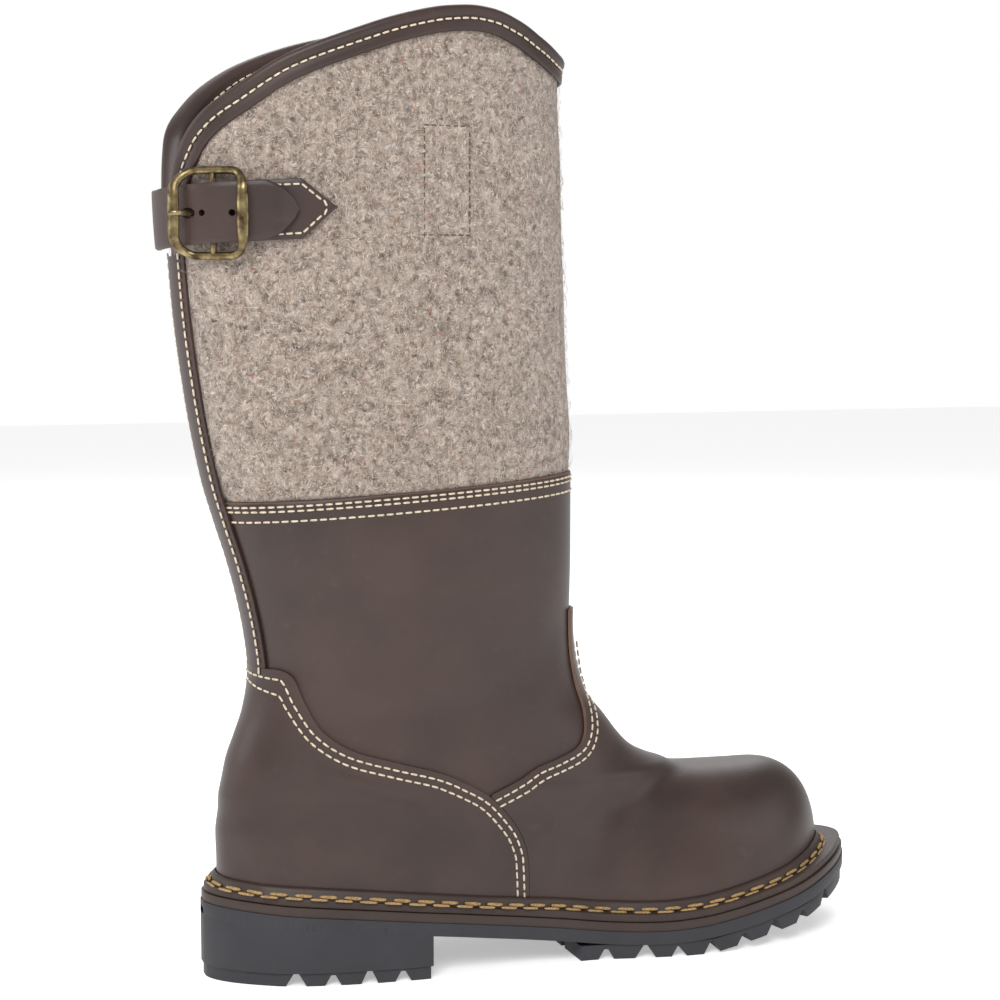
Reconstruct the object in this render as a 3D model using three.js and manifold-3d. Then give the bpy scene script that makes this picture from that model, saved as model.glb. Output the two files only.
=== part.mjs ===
// Tall right-foot winter boot: leather foot and lower leg, felt upper shaft, rolled collar binding with a
// buckled strap round the back, stitched welt and rubber lug sole.
// Millimetres, +X to the toe, +Y to the inner side, +Z up. It stands on its tread at z = 0.
import * as THREE from 'three';
import { mergeVertices } from 'three/addons/utils/BufferGeometryUtils.js';
import Module from 'manifold-3d';

const wasm = await Module();
wasm.setup();

// Driving sizes
const OUTSOLE_LENGTH = 300;
const BALL_WIDTH = 101;
const HEEL_WIDTH = 68.4;
const HEEL_HEIGHT = 32.3;
const BALL_HEIGHT = 11.4;
const TOE_HEIGHT = 30.5;
const TOE_SPRING = 18;
const INSTEP_HEIGHT = 78;
const ANKLE_HEIGHT = 131;
const BOOT_HEIGHT = 403;
const SHAFT_WIDTH = 85;
const SEAM_BACK_HEIGHT = 199;
const SEAM_FRONT_HEIGHT = 209;

// Thicknesses and clearances
const JOIN_GAP = 0.3;
const MIDSOLE_THICKNESS = 3.9;
const WELT_THICKNESS = 3.3;
const STORM_LIP_HEIGHT = 4.4;
const STORM_LIP_THICKNESS = 2.2;
const INSOLE_THICKNESS = 4;
const INSOLE_CLEARANCE = 2;
const UPPER_WALL = 2.3;
const OVERLAY_WALL = 1.6;
const FELT_WALL = 5;
const FELT_LAP = 11;
const BINDING_WALL = 1.5;
const BINDING_DEPTH = 10.5;
const BINDING_ROLL = 3.4;

// The upper stands back from the sole's edge
const UPPER_SIDE_INSET = 9;
const UPPER_TOE_INSET = 16;
const WELT_EDGE_INSET = 1.4;
const MIDSOLE_EDGE_INSET = 0.4;

// Outsole
const PLATE_THICKNESS = 5.6;
const HEEL_LENGTH = 90;
const FOREPART_START = 157;
const LUG_DEPTH = 5.6;
const NOTCH_DEPTH = 2.6;
const LUG_EDGE_STEP = 0.9;
const EDGE_LUG_REACH = 21;
const TREAD_CHANNEL = 4;
const HEEL_ROUND = 36;
const TOE_ROUND = 46;

// Strap and buckle
const BACK_STRAP_HALF_WIDTH = 12;
const STRAP_WIDTH = 24;
const STRAP_THICKNESS = 2.4;
const STRAP_BELOW_PEAK = 87.3;
const STRAP_HEIGHT = BOOT_HEIGHT - STRAP_BELOW_PEAK;
const STRAP_CLIMB = 12;
const STRAP_HOLE = 1.4;
const PRONG_HOLE = 2.4;
const TAB_THICKNESS = 1.8;
const BUCKLE_WIDTH = 33;
const BAR_SWELL = 0.6;
const BUCKLE_HEIGHT = 37;
const BUCKLE_BAR = 3.2;
const BUCKLE_BAR_DEPTH = 2.8;
const BUCKLE_CORNER = 8;
const BUCKLE_BOW = 5.2;
const CENTRE_BAR = 2.6;
const PRONG = 2.4;

// Grid density
const AROUND = 32;
const EDGE_SPACING = 0.72;
const SEARCH_STEPS = 60;
const SEARCH_HALVINGS = 22;

// Half widths of the sole before its ends are rounded: shares of the length and of the ball width
const SOLE_OUTLINE = [
  { at: 0.0, lateral: 0.228, medial: 0.228 },
  { at: 0.05, lateral: 0.257, medial: 0.267 },
  { at: 0.1, lateral: 0.301, medial: 0.312 },
  { at: 0.167, lateral: 0.351, medial: 0.347 },
  { at: 0.233, lateral: 0.381, medial: 0.361 },
  { at: 0.3, lateral: 0.396, medial: 0.356 },
  { at: 0.367, lateral: 0.391, medial: 0.35 },
  { at: 0.45, lateral: 0.381, medial: 0.343 },
  { at: 0.533, lateral: 0.386, medial: 0.358 },
  { at: 0.617, lateral: 0.436, medial: 0.408 },
  { at: 0.683, lateral: 0.47, medial: 0.465 },
  { at: 0.75, lateral: 0.48, medial: 0.51 },
  { at: 0.817, lateral: 0.463, medial: 0.51 },
  { at: 0.883, lateral: 0.421, medial: 0.455 },
  { at: 0.943, lateral: 0.361, medial: 0.39 },
  { at: 0.98, lateral: 0.307, medial: 0.335 },
  { at: 1.0, lateral: 0.277, medial: 0.305 },
];

// Height of the rubber's top: shares of the heel's rise and of the toe's rise over the ball
const SOLE_TOP = [
  { at: 0.0, heel: 1.0, toe: 0 },
  { at: 0.08, heel: 0.904, toe: 0 },
  { at: 0.19, heel: 0.775, toe: 0 },
  { at: 0.305, heel: 0.589, toe: 0 },
  { at: 0.427, heel: 0.335, toe: 0 },
  { at: 0.49, heel: 0.201, toe: 0 },
  { at: 0.573, heel: 0.038, toe: 0 },
  { at: 0.64, heel: 0, toe: 0 },
  { at: 0.7, heel: 0, toe: 0.047 },
  { at: 0.744, heel: 0, toe: 0.147 },
  { at: 0.843, heel: 0, toe: 0.45 },
  { at: 0.93, heel: 0, toe: 0.79 },
  { at: 1.0, heel: 0, toe: 1.0 },
];

// Height of the tread: shares of the length and of the toe spring
const TREAD_LINE = [
  { at: 0.0, spring: 0 },
  { at: 0.71, spring: 0 },
  { at: 0.745, spring: 0.1 },
  { at: 0.79, spring: 0.24 },
  { at: 0.837, spring: 0.39 },
  { at: 0.877, spring: 0.53 },
  { at: 0.91, spring: 0.7 },
  { at: 0.953, spring: 0.88 },
  { at: 1.0, spring: 1.0 },
];

// Ridge of the vamp before the toe is rounded: shares of the length and of the instep height
const VAMP_RIDGE = [
  { at: 0.0, high: 0.77 },
  { at: 0.3, high: 0.85 },
  { at: 0.5, high: 1.0 },
  { at: 0.62, high: 1.0 },
  { at: 0.68, high: 0.968 },
  { at: 0.75, high: 0.938 },
  { at: 0.82, high: 0.932 },
  { at: 0.9, high: 0.965 },
  { at: 1, high: 0.98 },
];
const TOE_FULLNESS = 3;

// Sections of the leg, a row per height: up runs 0 to 1 from floor to ankle and 1 to 2 to the collar's
// peak, back and front are shares of the length, heel and shaft are shares of those widths
const LEG_SECTIONS = [
  { up: 0.076, back: 0.0308, front: 0.56, heel: 0.86, shaft: 0 },
  { up: 0.229, back: 0.0298, front: 0.59, heel: 0.93, shaft: 0 },
  { up: 0.344, back: 0.0298, front: 0.612, heel: 0.97, shaft: 0 },
  { up: 0.458, back: 0.0288, front: 0.645, heel: 0.995, shaft: 0 },
  { up: 0.534, back: 0.0328, front: 0.672, heel: 1, shaft: 0 },
  { up: 0.58, back: 0.0338, front: 0.683, heel: 1, shaft: 0 },
  { up: 0.603, back: 0.0358, front: 0.665, heel: 1, shaft: 0 },
  { up: 0.634, back: 0.0388, front: 0.643, heel: 0.995, shaft: 0 },
  { up: 0.695, back: 0.0448, front: 0.62, heel: 0.99, shaft: 0 },
  { up: 0.763, back: 0.0558, front: 0.597, heel: 0.985, shaft: 0 },
  { up: 0.847, back: 0.0688, front: 0.568, heel: 0.985, shaft: 0 },
  { up: 0.947, back: 0.0768, front: 0.553, heel: 0.85, shaft: 0.125 },
  { up: 1, back: 0.0778, front: 0.549, heel: 0.76, shaft: 0.205 },
  { up: 1.044, back: 0.0738, front: 0.546, heel: 0.6, shaft: 0.355 },
  { up: 1.099, back: 0.0648, front: 0.547, heel: 0.42, shaft: 0.525 },
  { up: 1.165, back: 0.0498, front: 0.548, heel: 0.25, shaft: 0.69 },
  { up: 1.224, back: 0.0332, front: 0.548, heel: 0.13, shaft: 0.805 },
  { up: 1.294, back: 0.0152, front: 0.548, heel: 0.05, shaft: 0.885 },
  { up: 1.423, back: -0.006, front: 0.543, heel: 0, shaft: 0.95 },
  { up: 1.5625, back: -0.021, front: 0.536, heel: 0, shaft: 0.967 },
  { up: 1.728, back: -0.0295, front: 0.531, heel: 0, shaft: 0.982 },
  { up: 1.875, back: -0.034, front: 0.527, heel: 0, shaft: 0.993 },
  { up: 2, back: -0.037, front: 0.527, heel: 0, shaft: 1 },
];
const LEG_ROUNDNESS = 2.15;
const FOOT_ROUNDNESS = 2.3;
const FOOT_START = 0.1;
const INSTEP_BLEND = 14;

// Rings of the mesh that lean forward over the foot: back height as a share of the ankle height, front
// as a share of the length, and how late the ring bends down to it
const FOOT_RINGS = [
  { back: 0.46, front: 0.93, bend: 3 },
  { back: 0.475, front: 0.9, bend: 4 },
  { back: 0.49, front: 0.855, bend: 5 },
  { back: 0.508, front: 0.8, bend: 6 },
  { back: 0.525, front: 0.74, bend: 7 },
  { back: 0.55, front: 0.69, bend: 8 },
  { back: 0.6, front: 0.657, bend: 2 },
  { back: 0.68, front: 0.632, bend: 2 },
  { back: 0.77, front: 0.607, bend: 2 },
  { back: 0.87, front: 0.582, bend: 2 },
  { back: 0.98, front: 0.563, bend: 2 },
  { back: 1.09, front: 0.552, bend: 2 },
];
const LOW_RINGS = [-1, 9, 17];

// Edge of the collar from the back (turn 0) to the front (turn 1), on both sides: shares of its drop
const COLLAR_DROP = 91;
const COLLAR_EDGE = [
  { turn: 0, outer: 0.06, inner: 0.06 },
  { turn: 0.05, outer: 0.19, inner: 0.2 },
  { turn: 0.078, outer: 0.295, inner: 0.33 },
  { turn: 0.1, outer: 0.355, inner: 0.42 },
  { turn: 0.125, outer: 0.42, inner: 0.478 },
  { turn: 0.18, outer: 0.52, inner: 0.57 },
  { turn: 0.245, outer: 0.612, inner: 0.678 },
  { turn: 0.33, outer: 0.747, inner: 0.798 },
  { turn: 0.44, outer: 0.871, inner: 0.905 },
  { turn: 0.52, outer: 0.948, inner: 0.955 },
  { turn: 0.59, outer: 0.991, inner: 0.991 },
  { turn: 0.633, outer: 1, inner: 1 },
  { turn: 0.67, outer: 0.991, inner: 0.991 },
  { turn: 0.73, outer: 0.945, inner: 0.945 },
  { turn: 0.79, outer: 0.885, inner: 0.885 },
  { turn: 0.88, outer: 0.824, inner: 0.824 },
  { turn: 1, outer: 0.802, inner: 0.802 },
];

// Side view of the counter's top and front edge: shares of the length and of the ankle height
const COUNTER_EDGE = [
  { at: -0.05, up: 1.0 },
  { at: 0.093, up: 1.0 },
  { at: 0.112, up: 0.985 },
  { at: 0.13, up: 0.895 },
  { at: 0.152, up: 0.81 },
  { at: 0.192, up: 0.745 },
  { at: 0.253, up: 0.7 },
  { at: 0.317, up: 0.657 },
  { at: 0.36, up: 0.61 },
  { at: 0.388, up: 0.57 },
  { at: 0.417, up: 0.5 },
  { at: 0.437, up: 0.43 },
  { at: 0.447, up: 0.35 },
  { at: 0.452, up: 0.0 },
];

// Side view of the vamp's throat, from the counter up to the tongue: the same shares
const VAMP_EDGE = [
  { at: 0.388, up: 0.57 },
  { at: 0.437, up: 0.617 },
  { at: 0.467, up: 0.65 },
  { at: 0.503, up: 0.672 },
  { at: 0.537, up: 0.703 },
  { at: 0.55, up: 0.755 },
  { at: 0.553, up: 0.82 },
  { at: 0.545, up: 0.9 },
  { at: 0.538, up: 1.02 },
  { at: 0.537, up: 1.14 },
];

// Gaps in the edge of the tread: place as a share of the length, width at the floor and depth
const EDGE_GAPS = [
  { at: 0.11, wide: 9, deep: LUG_DEPTH },
  { at: 0.16, wide: 4, deep: NOTCH_DEPTH },
  { at: 0.21, wide: 7, deep: LUG_DEPTH },
  { at: 0.257, wide: 4, deep: NOTCH_DEPTH },
  { at: 0.56, wide: 4, deep: NOTCH_DEPTH },
  { at: 0.616, wide: 9.5, deep: LUG_DEPTH },
  { at: 0.665, wide: 4, deep: NOTCH_DEPTH },
  { at: 0.716, wide: 8, deep: LUG_DEPTH },
  { at: 0.768, wide: 4, deep: NOTCH_DEPTH },
  { at: 0.82, wide: 8, deep: LUG_DEPTH },
  { at: 0.872, wide: 4, deep: NOTCH_DEPTH },
  { at: 0.924, wide: 7, deep: LUG_DEPTH },
];
const CENTRE_GAPS = [0.14, 0.225, 0.6, 0.69, 0.78, 0.87];

// How far the strap's inner face stands off the shaft, from its tip round the back to its sewn end
const STRAP_STAND = [
  { turn: -0.352, stand: 2.5 },
  { turn: -0.33, stand: 2.5 },
  { turn: -0.31, stand: 3 },
  { turn: -0.285, stand: 3.4 },
  { turn: -0.24, stand: 5.4 },
  { turn: -0.2, stand: 6.1 },
  { turn: -0.15, stand: 5.2 },
  { turn: -0.105, stand: 4.6 },
  { turn: -0.055, stand: 4.5 },
  { turn: -0.02, stand: 4.4 },
  { turn: 0.02, stand: 4.4 },
  { turn: 0.06, stand: 4.2 },
  { turn: 0.12, stand: 3.6 },
  { turn: 0.2, stand: 2.4 },
  { turn: 0.26, stand: 1 },
  { turn: 0.29, stand: 0.35 },
  { turn: 0.36, stand: 0.3 },
];
const STRAP_TIP_ROUND = 0.06;
const BUCKLE_TURN = -0.2;
const TAB_TURNS = { start: -0.207, point: -0.357, tip: -0.412 };
const STRAP_HOLES = [-9.8, -3, 9.4];

// Smooth curve through one column of a table
function column(rows, key, value) {
  const slope = (i) => (value(rows[i + 1]) - value(rows[i])) / (rows[i + 1][key] - rows[i][key]);
  const tangents = rows.map((row, i) => {
    if (i === 0) return slope(0);
    if (i === rows.length - 1) return slope(i - 1);
    const [before, after] = [slope(i - 1), slope(i)];
    return before * after <= 0 ? 0 : (2 * before * after) / (before + after);
  });
  return (wanted) => {
    const x = THREE.MathUtils.clamp(wanted, rows[0][key], rows[rows.length - 1][key]);
    let i = 0;
    while (i < rows.length - 2 && x >= rows[i + 1][key]) i += 1;
    const span = rows[i + 1][key] - rows[i][key];
    const t = (x - rows[i][key]) / span;
    const start = (1 + 2 * t) * (1 - t) ** 2 * value(rows[i]) + t * (1 - t) ** 2 * span * tangents[i];
    const end = t * t * (3 - 2 * t) * value(rows[i + 1]) + t * t * (t - 1) * span * tangents[i + 1];
    return start + end;
  };
}

const clamp01 = (value) => THREE.MathUtils.clamp(value, 0, 1);

// Heights along the sole
const heelRise = column(SOLE_TOP, 'at', (row) => row.heel * (HEEL_HEIGHT - BALL_HEIGHT));
const toeRise = column(SOLE_TOP, 'at', (row) => row.toe * (TOE_HEIGHT - BALL_HEIGHT));
const rubberTop = (x) => {
  const at = x / OUTSOLE_LENGTH;
  return BALL_HEIGHT + heelRise(at) + toeRise(at);
};
const springAt = column(TREAD_LINE, 'at', (row) => row.spring * TOE_SPRING);
const treadHeight = (x) => springAt(x / OUTSOLE_LENGTH);
const midsoleBottom = (x) => rubberTop(x) + JOIN_GAP;
const midsoleTop = (x) => rubberTop(x) + MIDSOLE_THICKNESS;
const featherHeight = (x) => midsoleTop(x) + JOIN_GAP;

// Outline of the sole from above, with a back, side and toe inset
const lateralHalf = column(SOLE_OUTLINE, 'at', (row) => row.lateral * BALL_WIDTH);
const medialHalf = column(SOLE_OUTLINE, 'at', (row) => row.medial * BALL_WIDTH);
function plainHalves(x, inset) {
  const at = clamp01((x - inset.back) / (OUTSOLE_LENGTH - inset.toe - inset.back));
  return { lateral: lateralHalf(at) - inset.side, medial: medialHalf(at) - inset.side };
}
function halfWidths(x, inset) {
  const end = OUTSOLE_LENGTH - inset.toe;
  const heelRound = HEEL_ROUND - Math.min(inset.back, inset.side) * 0.6;
  const toeRound = TOE_ROUND - inset.toe * 0.3;
  const heelDome = Math.sqrt(1 - clamp01((inset.back + heelRound - x) / heelRound) ** 2);
  const toeDome = Math.sqrt(1 - clamp01((x - end + toeRound) / toeRound) ** 2.2);
  const { lateral, medial } = plainHalves(x, inset);
  return { lateral: lateral * heelDome * toeDome, medial: medial * heelDome * toeDome };
}

// Fields that are negative inside the foot and the leg, in millimetres from the surface
const upperInset = { back: FOOT_START * OUTSOLE_LENGTH, side: UPPER_SIDE_INSET, toe: UPPER_TOE_INSET };
const ridgeShare = column(VAMP_RIDGE, 'at', (row) => row.high * INSTEP_HEIGHT);
function footField(x, y, z) {
  const capReach = TOE_ROUND - UPPER_TOE_INSET * 0.3;
  const beyond = Math.max(x - (OUTSOLE_LENGTH - UPPER_TOE_INSET - capReach), 0);
  const bottom = featherHeight(x);
  const rise = ridgeShare(x / OUTSOLE_LENGTH) - bottom;
  const halves = plainHalves(x, upperInset);
  const half = y < 0 ? halves.lateral : halves.medial;
  const above = Math.max(z - bottom, 0);
  const spread = (Math.abs(y) / half) ** FOOT_ROUNDNESS + (above / rise) ** FOOT_ROUNDNESS;
  const ratio = (spread + (beyond / capReach) ** TOE_FULLNESS) ** (1 / FOOT_ROUNDNESS);
  const reach = Math.hypot(y, above, beyond);
  const distance = reach > 1e-6 ? reach * (1 - 1 / Math.max(ratio, 1e-3)) : -half;
  return Math.max(distance, upperInset.back - x);
}

const legHeight = (up) =>
  up <= 1 ? up * ANKLE_HEIGHT : ANKLE_HEIGHT + (up - 1) * (BOOT_HEIGHT - ANKLE_HEIGHT);
const legRows = LEG_SECTIONS.map((row) => ({ ...row, z: legHeight(row.up) }));
const legBack = column(legRows, 'z', (row) => row.back * OUTSOLE_LENGTH);
const legFront = column(legRows, 'z', (row) => row.front * OUTSOLE_LENGTH);
const legHalf = column(legRows, 'z', (row) => (row.heel * HEEL_WIDTH + row.shaft * SHAFT_WIDTH) / 2);
function legField(x, y, z) {
  const middle = (legBack(z) + legFront(z)) / 2;
  const deep = Math.abs(x - middle) / ((legFront(z) - legBack(z)) / 2);
  const wide = Math.abs(y) / legHalf(z);
  const ratio = (deep ** LEG_ROUNDNESS + wide ** LEG_ROUNDNESS) ** (1 / LEG_ROUNDNESS);
  const reach = Math.hypot(x - middle, y);
  return reach > 1e-6 ? reach * (1 - 1 / Math.max(ratio, 1e-3)) : -legHalf(z);
}

function bootField(x, y, z) {
  const leg = legField(x, y, z);
  const foot = footField(x, y, z);
  const fade = clamp01((1.3 * ANKLE_HEIGHT - z) / (0.46 * ANKLE_HEIGHT));
  const blend = INSTEP_BLEND * Math.max(fade, 0.02);
  const mix = clamp01(0.5 + (0.5 * (foot - leg)) / blend);
  return foot * (1 - mix) + leg * mix - blend * mix * (1 - mix);
}

// A sheet is a height over the floor, searched outwards from its middle by turning round it:
// turn 0 is the back, turn 1 the front, negative on the outer side
const lowSheet = (lift) => ({
  middle: 0.493 * OUTSOLE_LENGTH,
  reach: 0.46 * OUTSOLE_LENGTH,
  half: HEEL_WIDTH / 2,
  height: (x) => featherHeight(x) + lift,
});
function ridgeHeight(x) {
  let high = BOOT_HEIGHT / 2;
  while (high > 0 && bootField(x, 0, high) > 0) high -= 0.5;
  return high;
}
function footSheet({ back, front, bend }) {
  const start = legBack(back * ANKLE_HEIGHT);
  const end = front * OUTSOLE_LENGTH;
  const drop = back * ANKLE_HEIGHT - ridgeHeight(end);
  return {
    middle: (start + end) / 2,
    reach: (end - start) / 2,
    half: SHAFT_WIDTH / 2,
    height: (x) => back * ANKLE_HEIGHT - drop * THREE.MathUtils.clamp((x - start) / (end - start), 0, 1.5) ** bend,
  };
}
const shaftMiddle = (legBack(BOOT_HEIGHT) + legFront(BOOT_HEIGHT)) / 2;
const shaftReach = (legFront(BOOT_HEIGHT) - legBack(BOOT_HEIGHT)) / 2;
const legSheet = (height) => ({ middle: shaftMiddle, reach: shaftReach, half: SHAFT_WIDTH / 2, height });
const seamHeight = (x) => {
  const along = (x - shaftMiddle + shaftReach) / (2 * shaftReach);
  return SEAM_BACK_HEIGHT + (SEAM_FRONT_HEIGHT - SEAM_BACK_HEIGHT) * along;
};
const outerDrop = column(COLLAR_EDGE, 'turn', (row) => (row.outer - 1) * COLLAR_DROP);
const innerDrop = column(COLLAR_EDGE, 'turn', (row) => (row.inner - 1) * COLLAR_DROP);
const collarHeight = (turn) => BOOT_HEIGHT + (turn < 0 ? outerDrop(-turn) : innerDrop(turn));

// Where the ray of one turn leaves the boot on a sheet
function surfacePoint(sheet, turn) {
  const angle = turn * Math.PI;
  const stepX = -Math.cos(angle) * sheet.reach;
  const stepY = Math.sin(angle) * sheet.half;
  const outside = (share) => {
    const x = sheet.middle + stepX * share;
    return bootField(x, stepY * share, sheet.height(x, turn)) > 0;
  };
  const limit = 1.7;
  let inner = 0;
  let outer = limit;
  for (let i = 1; i <= SEARCH_STEPS; i += 1) {
    if (outside((limit * i) / SEARCH_STEPS)) {
      outer = (limit * i) / SEARCH_STEPS;
      inner = outer - limit / SEARCH_STEPS;
      break;
    }
  }
  for (let i = 0; i < SEARCH_HALVINGS; i += 1) {
    const middle = (inner + outer) / 2;
    if (outside(middle)) outer = middle;
    else inner = middle;
  }
  const x = sheet.middle + stepX * outer;
  return new THREE.Vector3(x, stepY * outer, sheet.height(x, turn));
}

function outwards(point) {
  const e = 0.4;
  const { x, y, z } = point;
  return new THREE.Vector3(
    bootField(x + e, y, z) - bootField(x - e, y, z),
    bootField(x, y + e, z) - bootField(x, y - e, z),
    bootField(x, y, z + e) - bootField(x, y, z - e),
  ).normalize();
}
const offsetPoint = (point, distance) => point.clone().addScaledVector(outwards(point), distance);
const runningLength = (path) =>
  path.map((_, i) => path.slice(1, i + 1).reduce((sum, point, k) => sum + point.distanceTo(path[k]), 0));

const turns = Array.from({ length: AROUND }, (_, i) => {
  const even = (2 * i) / AROUND - 1;
  return even - 0.07 * Math.sin(2 * Math.PI * even);
});

// Turns for the low rings: spaced mostly by length along the foot's edge
const edgeSteps = Array.from({ length: 81 }, (_, i) => i / 80);
const edgePath = edgeSteps.map((turn) => surfacePoint(lowSheet(LOW_RINGS[1]), turn));
const edgeLength = runningLength(edgePath);
const edgeRows = edgeSteps.map((turn, i) => ({
  share: EDGE_SPACING * (edgeLength[i] / edgeLength[80]) + (1 - EDGE_SPACING) * turn,
  turn,
}));
const turnOfShare = column(edgeRows, 'share', (row) => row.turn);
const footTurns = turns.map((_, i) => {
  const even = (2 * i) / AROUND - 1;
  return Math.sign(even) * turnOfShare(Math.abs(even));
});
const mixedTurns = (legShare) => turns.map((turn, i) => THREE.MathUtils.lerp(footTurns[i], turn, legShare));
const ring = (sheet, offset = 0, places = sheet.places ?? turns) =>
  places.map((turn) => offsetPoint(surfacePoint(sheet, turn), offset));

// Closed solids from loops of points: consecutive loops are joined, and the last to the first if closed
function loopSolid(loops, { capped = false } = {}) {
  const count = loops[0].length;
  const positions = loops.flat().flatMap((point) => [point.x, point.y, point.z]);
  const index = [];
  const pairs = capped ? loops.length - 1 : loops.length;
  for (let k = 0; k < pairs; k += 1) {
    const next = (k + 1) % loops.length;
    for (let i = 0; i < count; i += 1) {
      const j = (i + 1) % count;
      const [a, b, c, d] = [k * count + i, k * count + j, next * count + j, next * count + i];
      index.push(a, b, c, a, c, d);
    }
  }
  if (capped) {
    const last = (loops.length - 1) * count;
    const centres = [loops[0], loops[loops.length - 1]].map((loop) =>
      loop.reduce((sum, point) => sum.add(point), new THREE.Vector3()).divideScalar(count),
    );
    centres.forEach((centre) => positions.push(centre.x, centre.y, centre.z));
    const [low, high] = [loops.length * count, loops.length * count + 1];
    for (let i = 0; i < count; i += 1) {
      const j = (i + 1) % count;
      index.push(j, i, low, last + i, last + j, high);
    }
  }
  const geometry = new THREE.BufferGeometry();
  geometry.setAttribute('position', new THREE.Float32BufferAttribute(positions, 3));
  geometry.setIndex(index);
  return faceOutwards(geometry);
}

function faceOutwards(geometry) {
  const p = geometry.getAttribute('position');
  const index = geometry.getIndex().array;
  const [a, b, c] = [new THREE.Vector3(), new THREE.Vector3(), new THREE.Vector3()];
  let volume = 0;
  for (let i = 0; i < index.length; i += 3) {
    a.fromBufferAttribute(p, index[i]);
    b.fromBufferAttribute(p, index[i + 1]);
    c.fromBufferAttribute(p, index[i + 2]);
    volume += a.dot(b.cross(c));
  }
  if (volume < 0) geometry.setIndex(Array.from(index).reverse());
  return geometry;
}

// Cuts and joins
function toSolid(geometry) {
  const bare = geometry.clone();
  bare.deleteAttribute('normal');
  bare.deleteAttribute('uv');
  const merged = mergeVertices(bare, 1e-4);
  return new wasm.Manifold(
    new wasm.Mesh({
      numProp: 3,
      vertProperties: new Float32Array(merged.getAttribute('position').array),
      triVerts: new Uint32Array(merged.getIndex().array),
    }),
  );
}
function toGeometry(solid) {
  const mesh = solid.getMesh();
  const geometry = new THREE.BufferGeometry();
  geometry.setAttribute('position', new THREE.Float32BufferAttribute(mesh.vertProperties, 3));
  geometry.setIndex(Array.from(mesh.triVerts));
  return geometry;
}
const joinAll = (solids) => solids.reduce((whole, solid) => whole.add(solid));

// Slab of the sole between two heights that depend on x alone
function soleSlab({ from = 0, to = OUTSOLE_LENGTH, inset = 0, bottom, top, steps = 30 }) {
  const edge = { back: inset, side: inset, toe: inset };
  const start = Math.max(from, inset + 0.4);
  const end = Math.min(to, OUTSOLE_LENGTH - inset - 0.4);
  const loops = [];
  for (let i = 0; i <= steps; i += 1) {
    const roundStart = from <= inset ? (1 - Math.cos((Math.PI * i) / steps)) / 2 : i / steps;
    const roundEnd = to >= OUTSOLE_LENGTH ? roundStart : (roundStart + i / steps) / 2;
    const x = start + (end - start) * roundEnd;
    const { lateral, medial } = halfWidths(x, edge);
    loops.push([
      new THREE.Vector3(x, -lateral, bottom(x)),
      new THREE.Vector3(x, medial, bottom(x)),
      new THREE.Vector3(x, medial, top(x)),
      new THREE.Vector3(x, -lateral, top(x)),
    ]);
  }
  const count = loops[0].length;
  const positions = loops.flat().flatMap((point) => [point.x, point.y, point.z]);
  const index = [0, 2, 1, 0, 3, 2];
  for (let k = 0; k + 1 < loops.length; k += 1) {
    for (let i = 0; i < count; i += 1) {
      const j = (i + 1) % count;
      const [a, b, c, d] = [k * count + i, k * count + j, (k + 1) * count + j, (k + 1) * count + i];
      index.push(a, b, c, a, c, d);
    }
  }
  const last = (loops.length - 1) * count;
  index.push(last, last + 1, last + 2, last, last + 2, last + 3);
  const geometry = new THREE.BufferGeometry();
  geometry.setAttribute('position', new THREE.Float32BufferAttribute(positions, 3));
  geometry.setIndex(index);
  return faceOutwards(geometry);
}

// Outsole: plate, heel block and forepart, with gaps in the edge and channels round the middle lugs
function edgeGap({ at, wide, deep }, side) {
  const x = at * OUTSOLE_LENGTH;
  const edge = { back: 0, side: 0, toe: 0 };
  const edgeY = (place) => (side < 0 ? -halfWidths(place, edge).lateral : halfWidths(place, edge).medial);
  const lean = Math.atan2(edgeY(x + 1) - edgeY(x - 1), 2);
  const section = new THREE.Shape([
    new THREE.Vector2(-wide / 2, -1),
    new THREE.Vector2(wide / 2, -1),
    new THREE.Vector2(wide / 3, deep),
    new THREE.Vector2(-wide / 3, deep),
  ]);
  const geometry = new THREE.ExtrudeGeometry(section, { depth: EDGE_LUG_REACH + 6, bevelEnabled: false });
  geometry.translate(0, 0, -EDGE_LUG_REACH);
  geometry.rotateX(Math.PI / 2);
  if (side > 0) geometry.rotateZ(Math.PI);
  geometry.rotateZ(lean);
  geometry.translate(x, edgeY(x), treadHeight(x));
  return toSolid(geometry);
}
function centreGap(at) {
  const x = at * OUTSOLE_LENGTH;
  const geometry = new THREE.BoxGeometry(TREAD_CHANNEL, BALL_WIDTH - 2 * EDGE_LUG_REACH, 2 * LUG_DEPTH);
  geometry.translate(x, 0, treadHeight(x));
  return toSolid(geometry);
}
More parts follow.
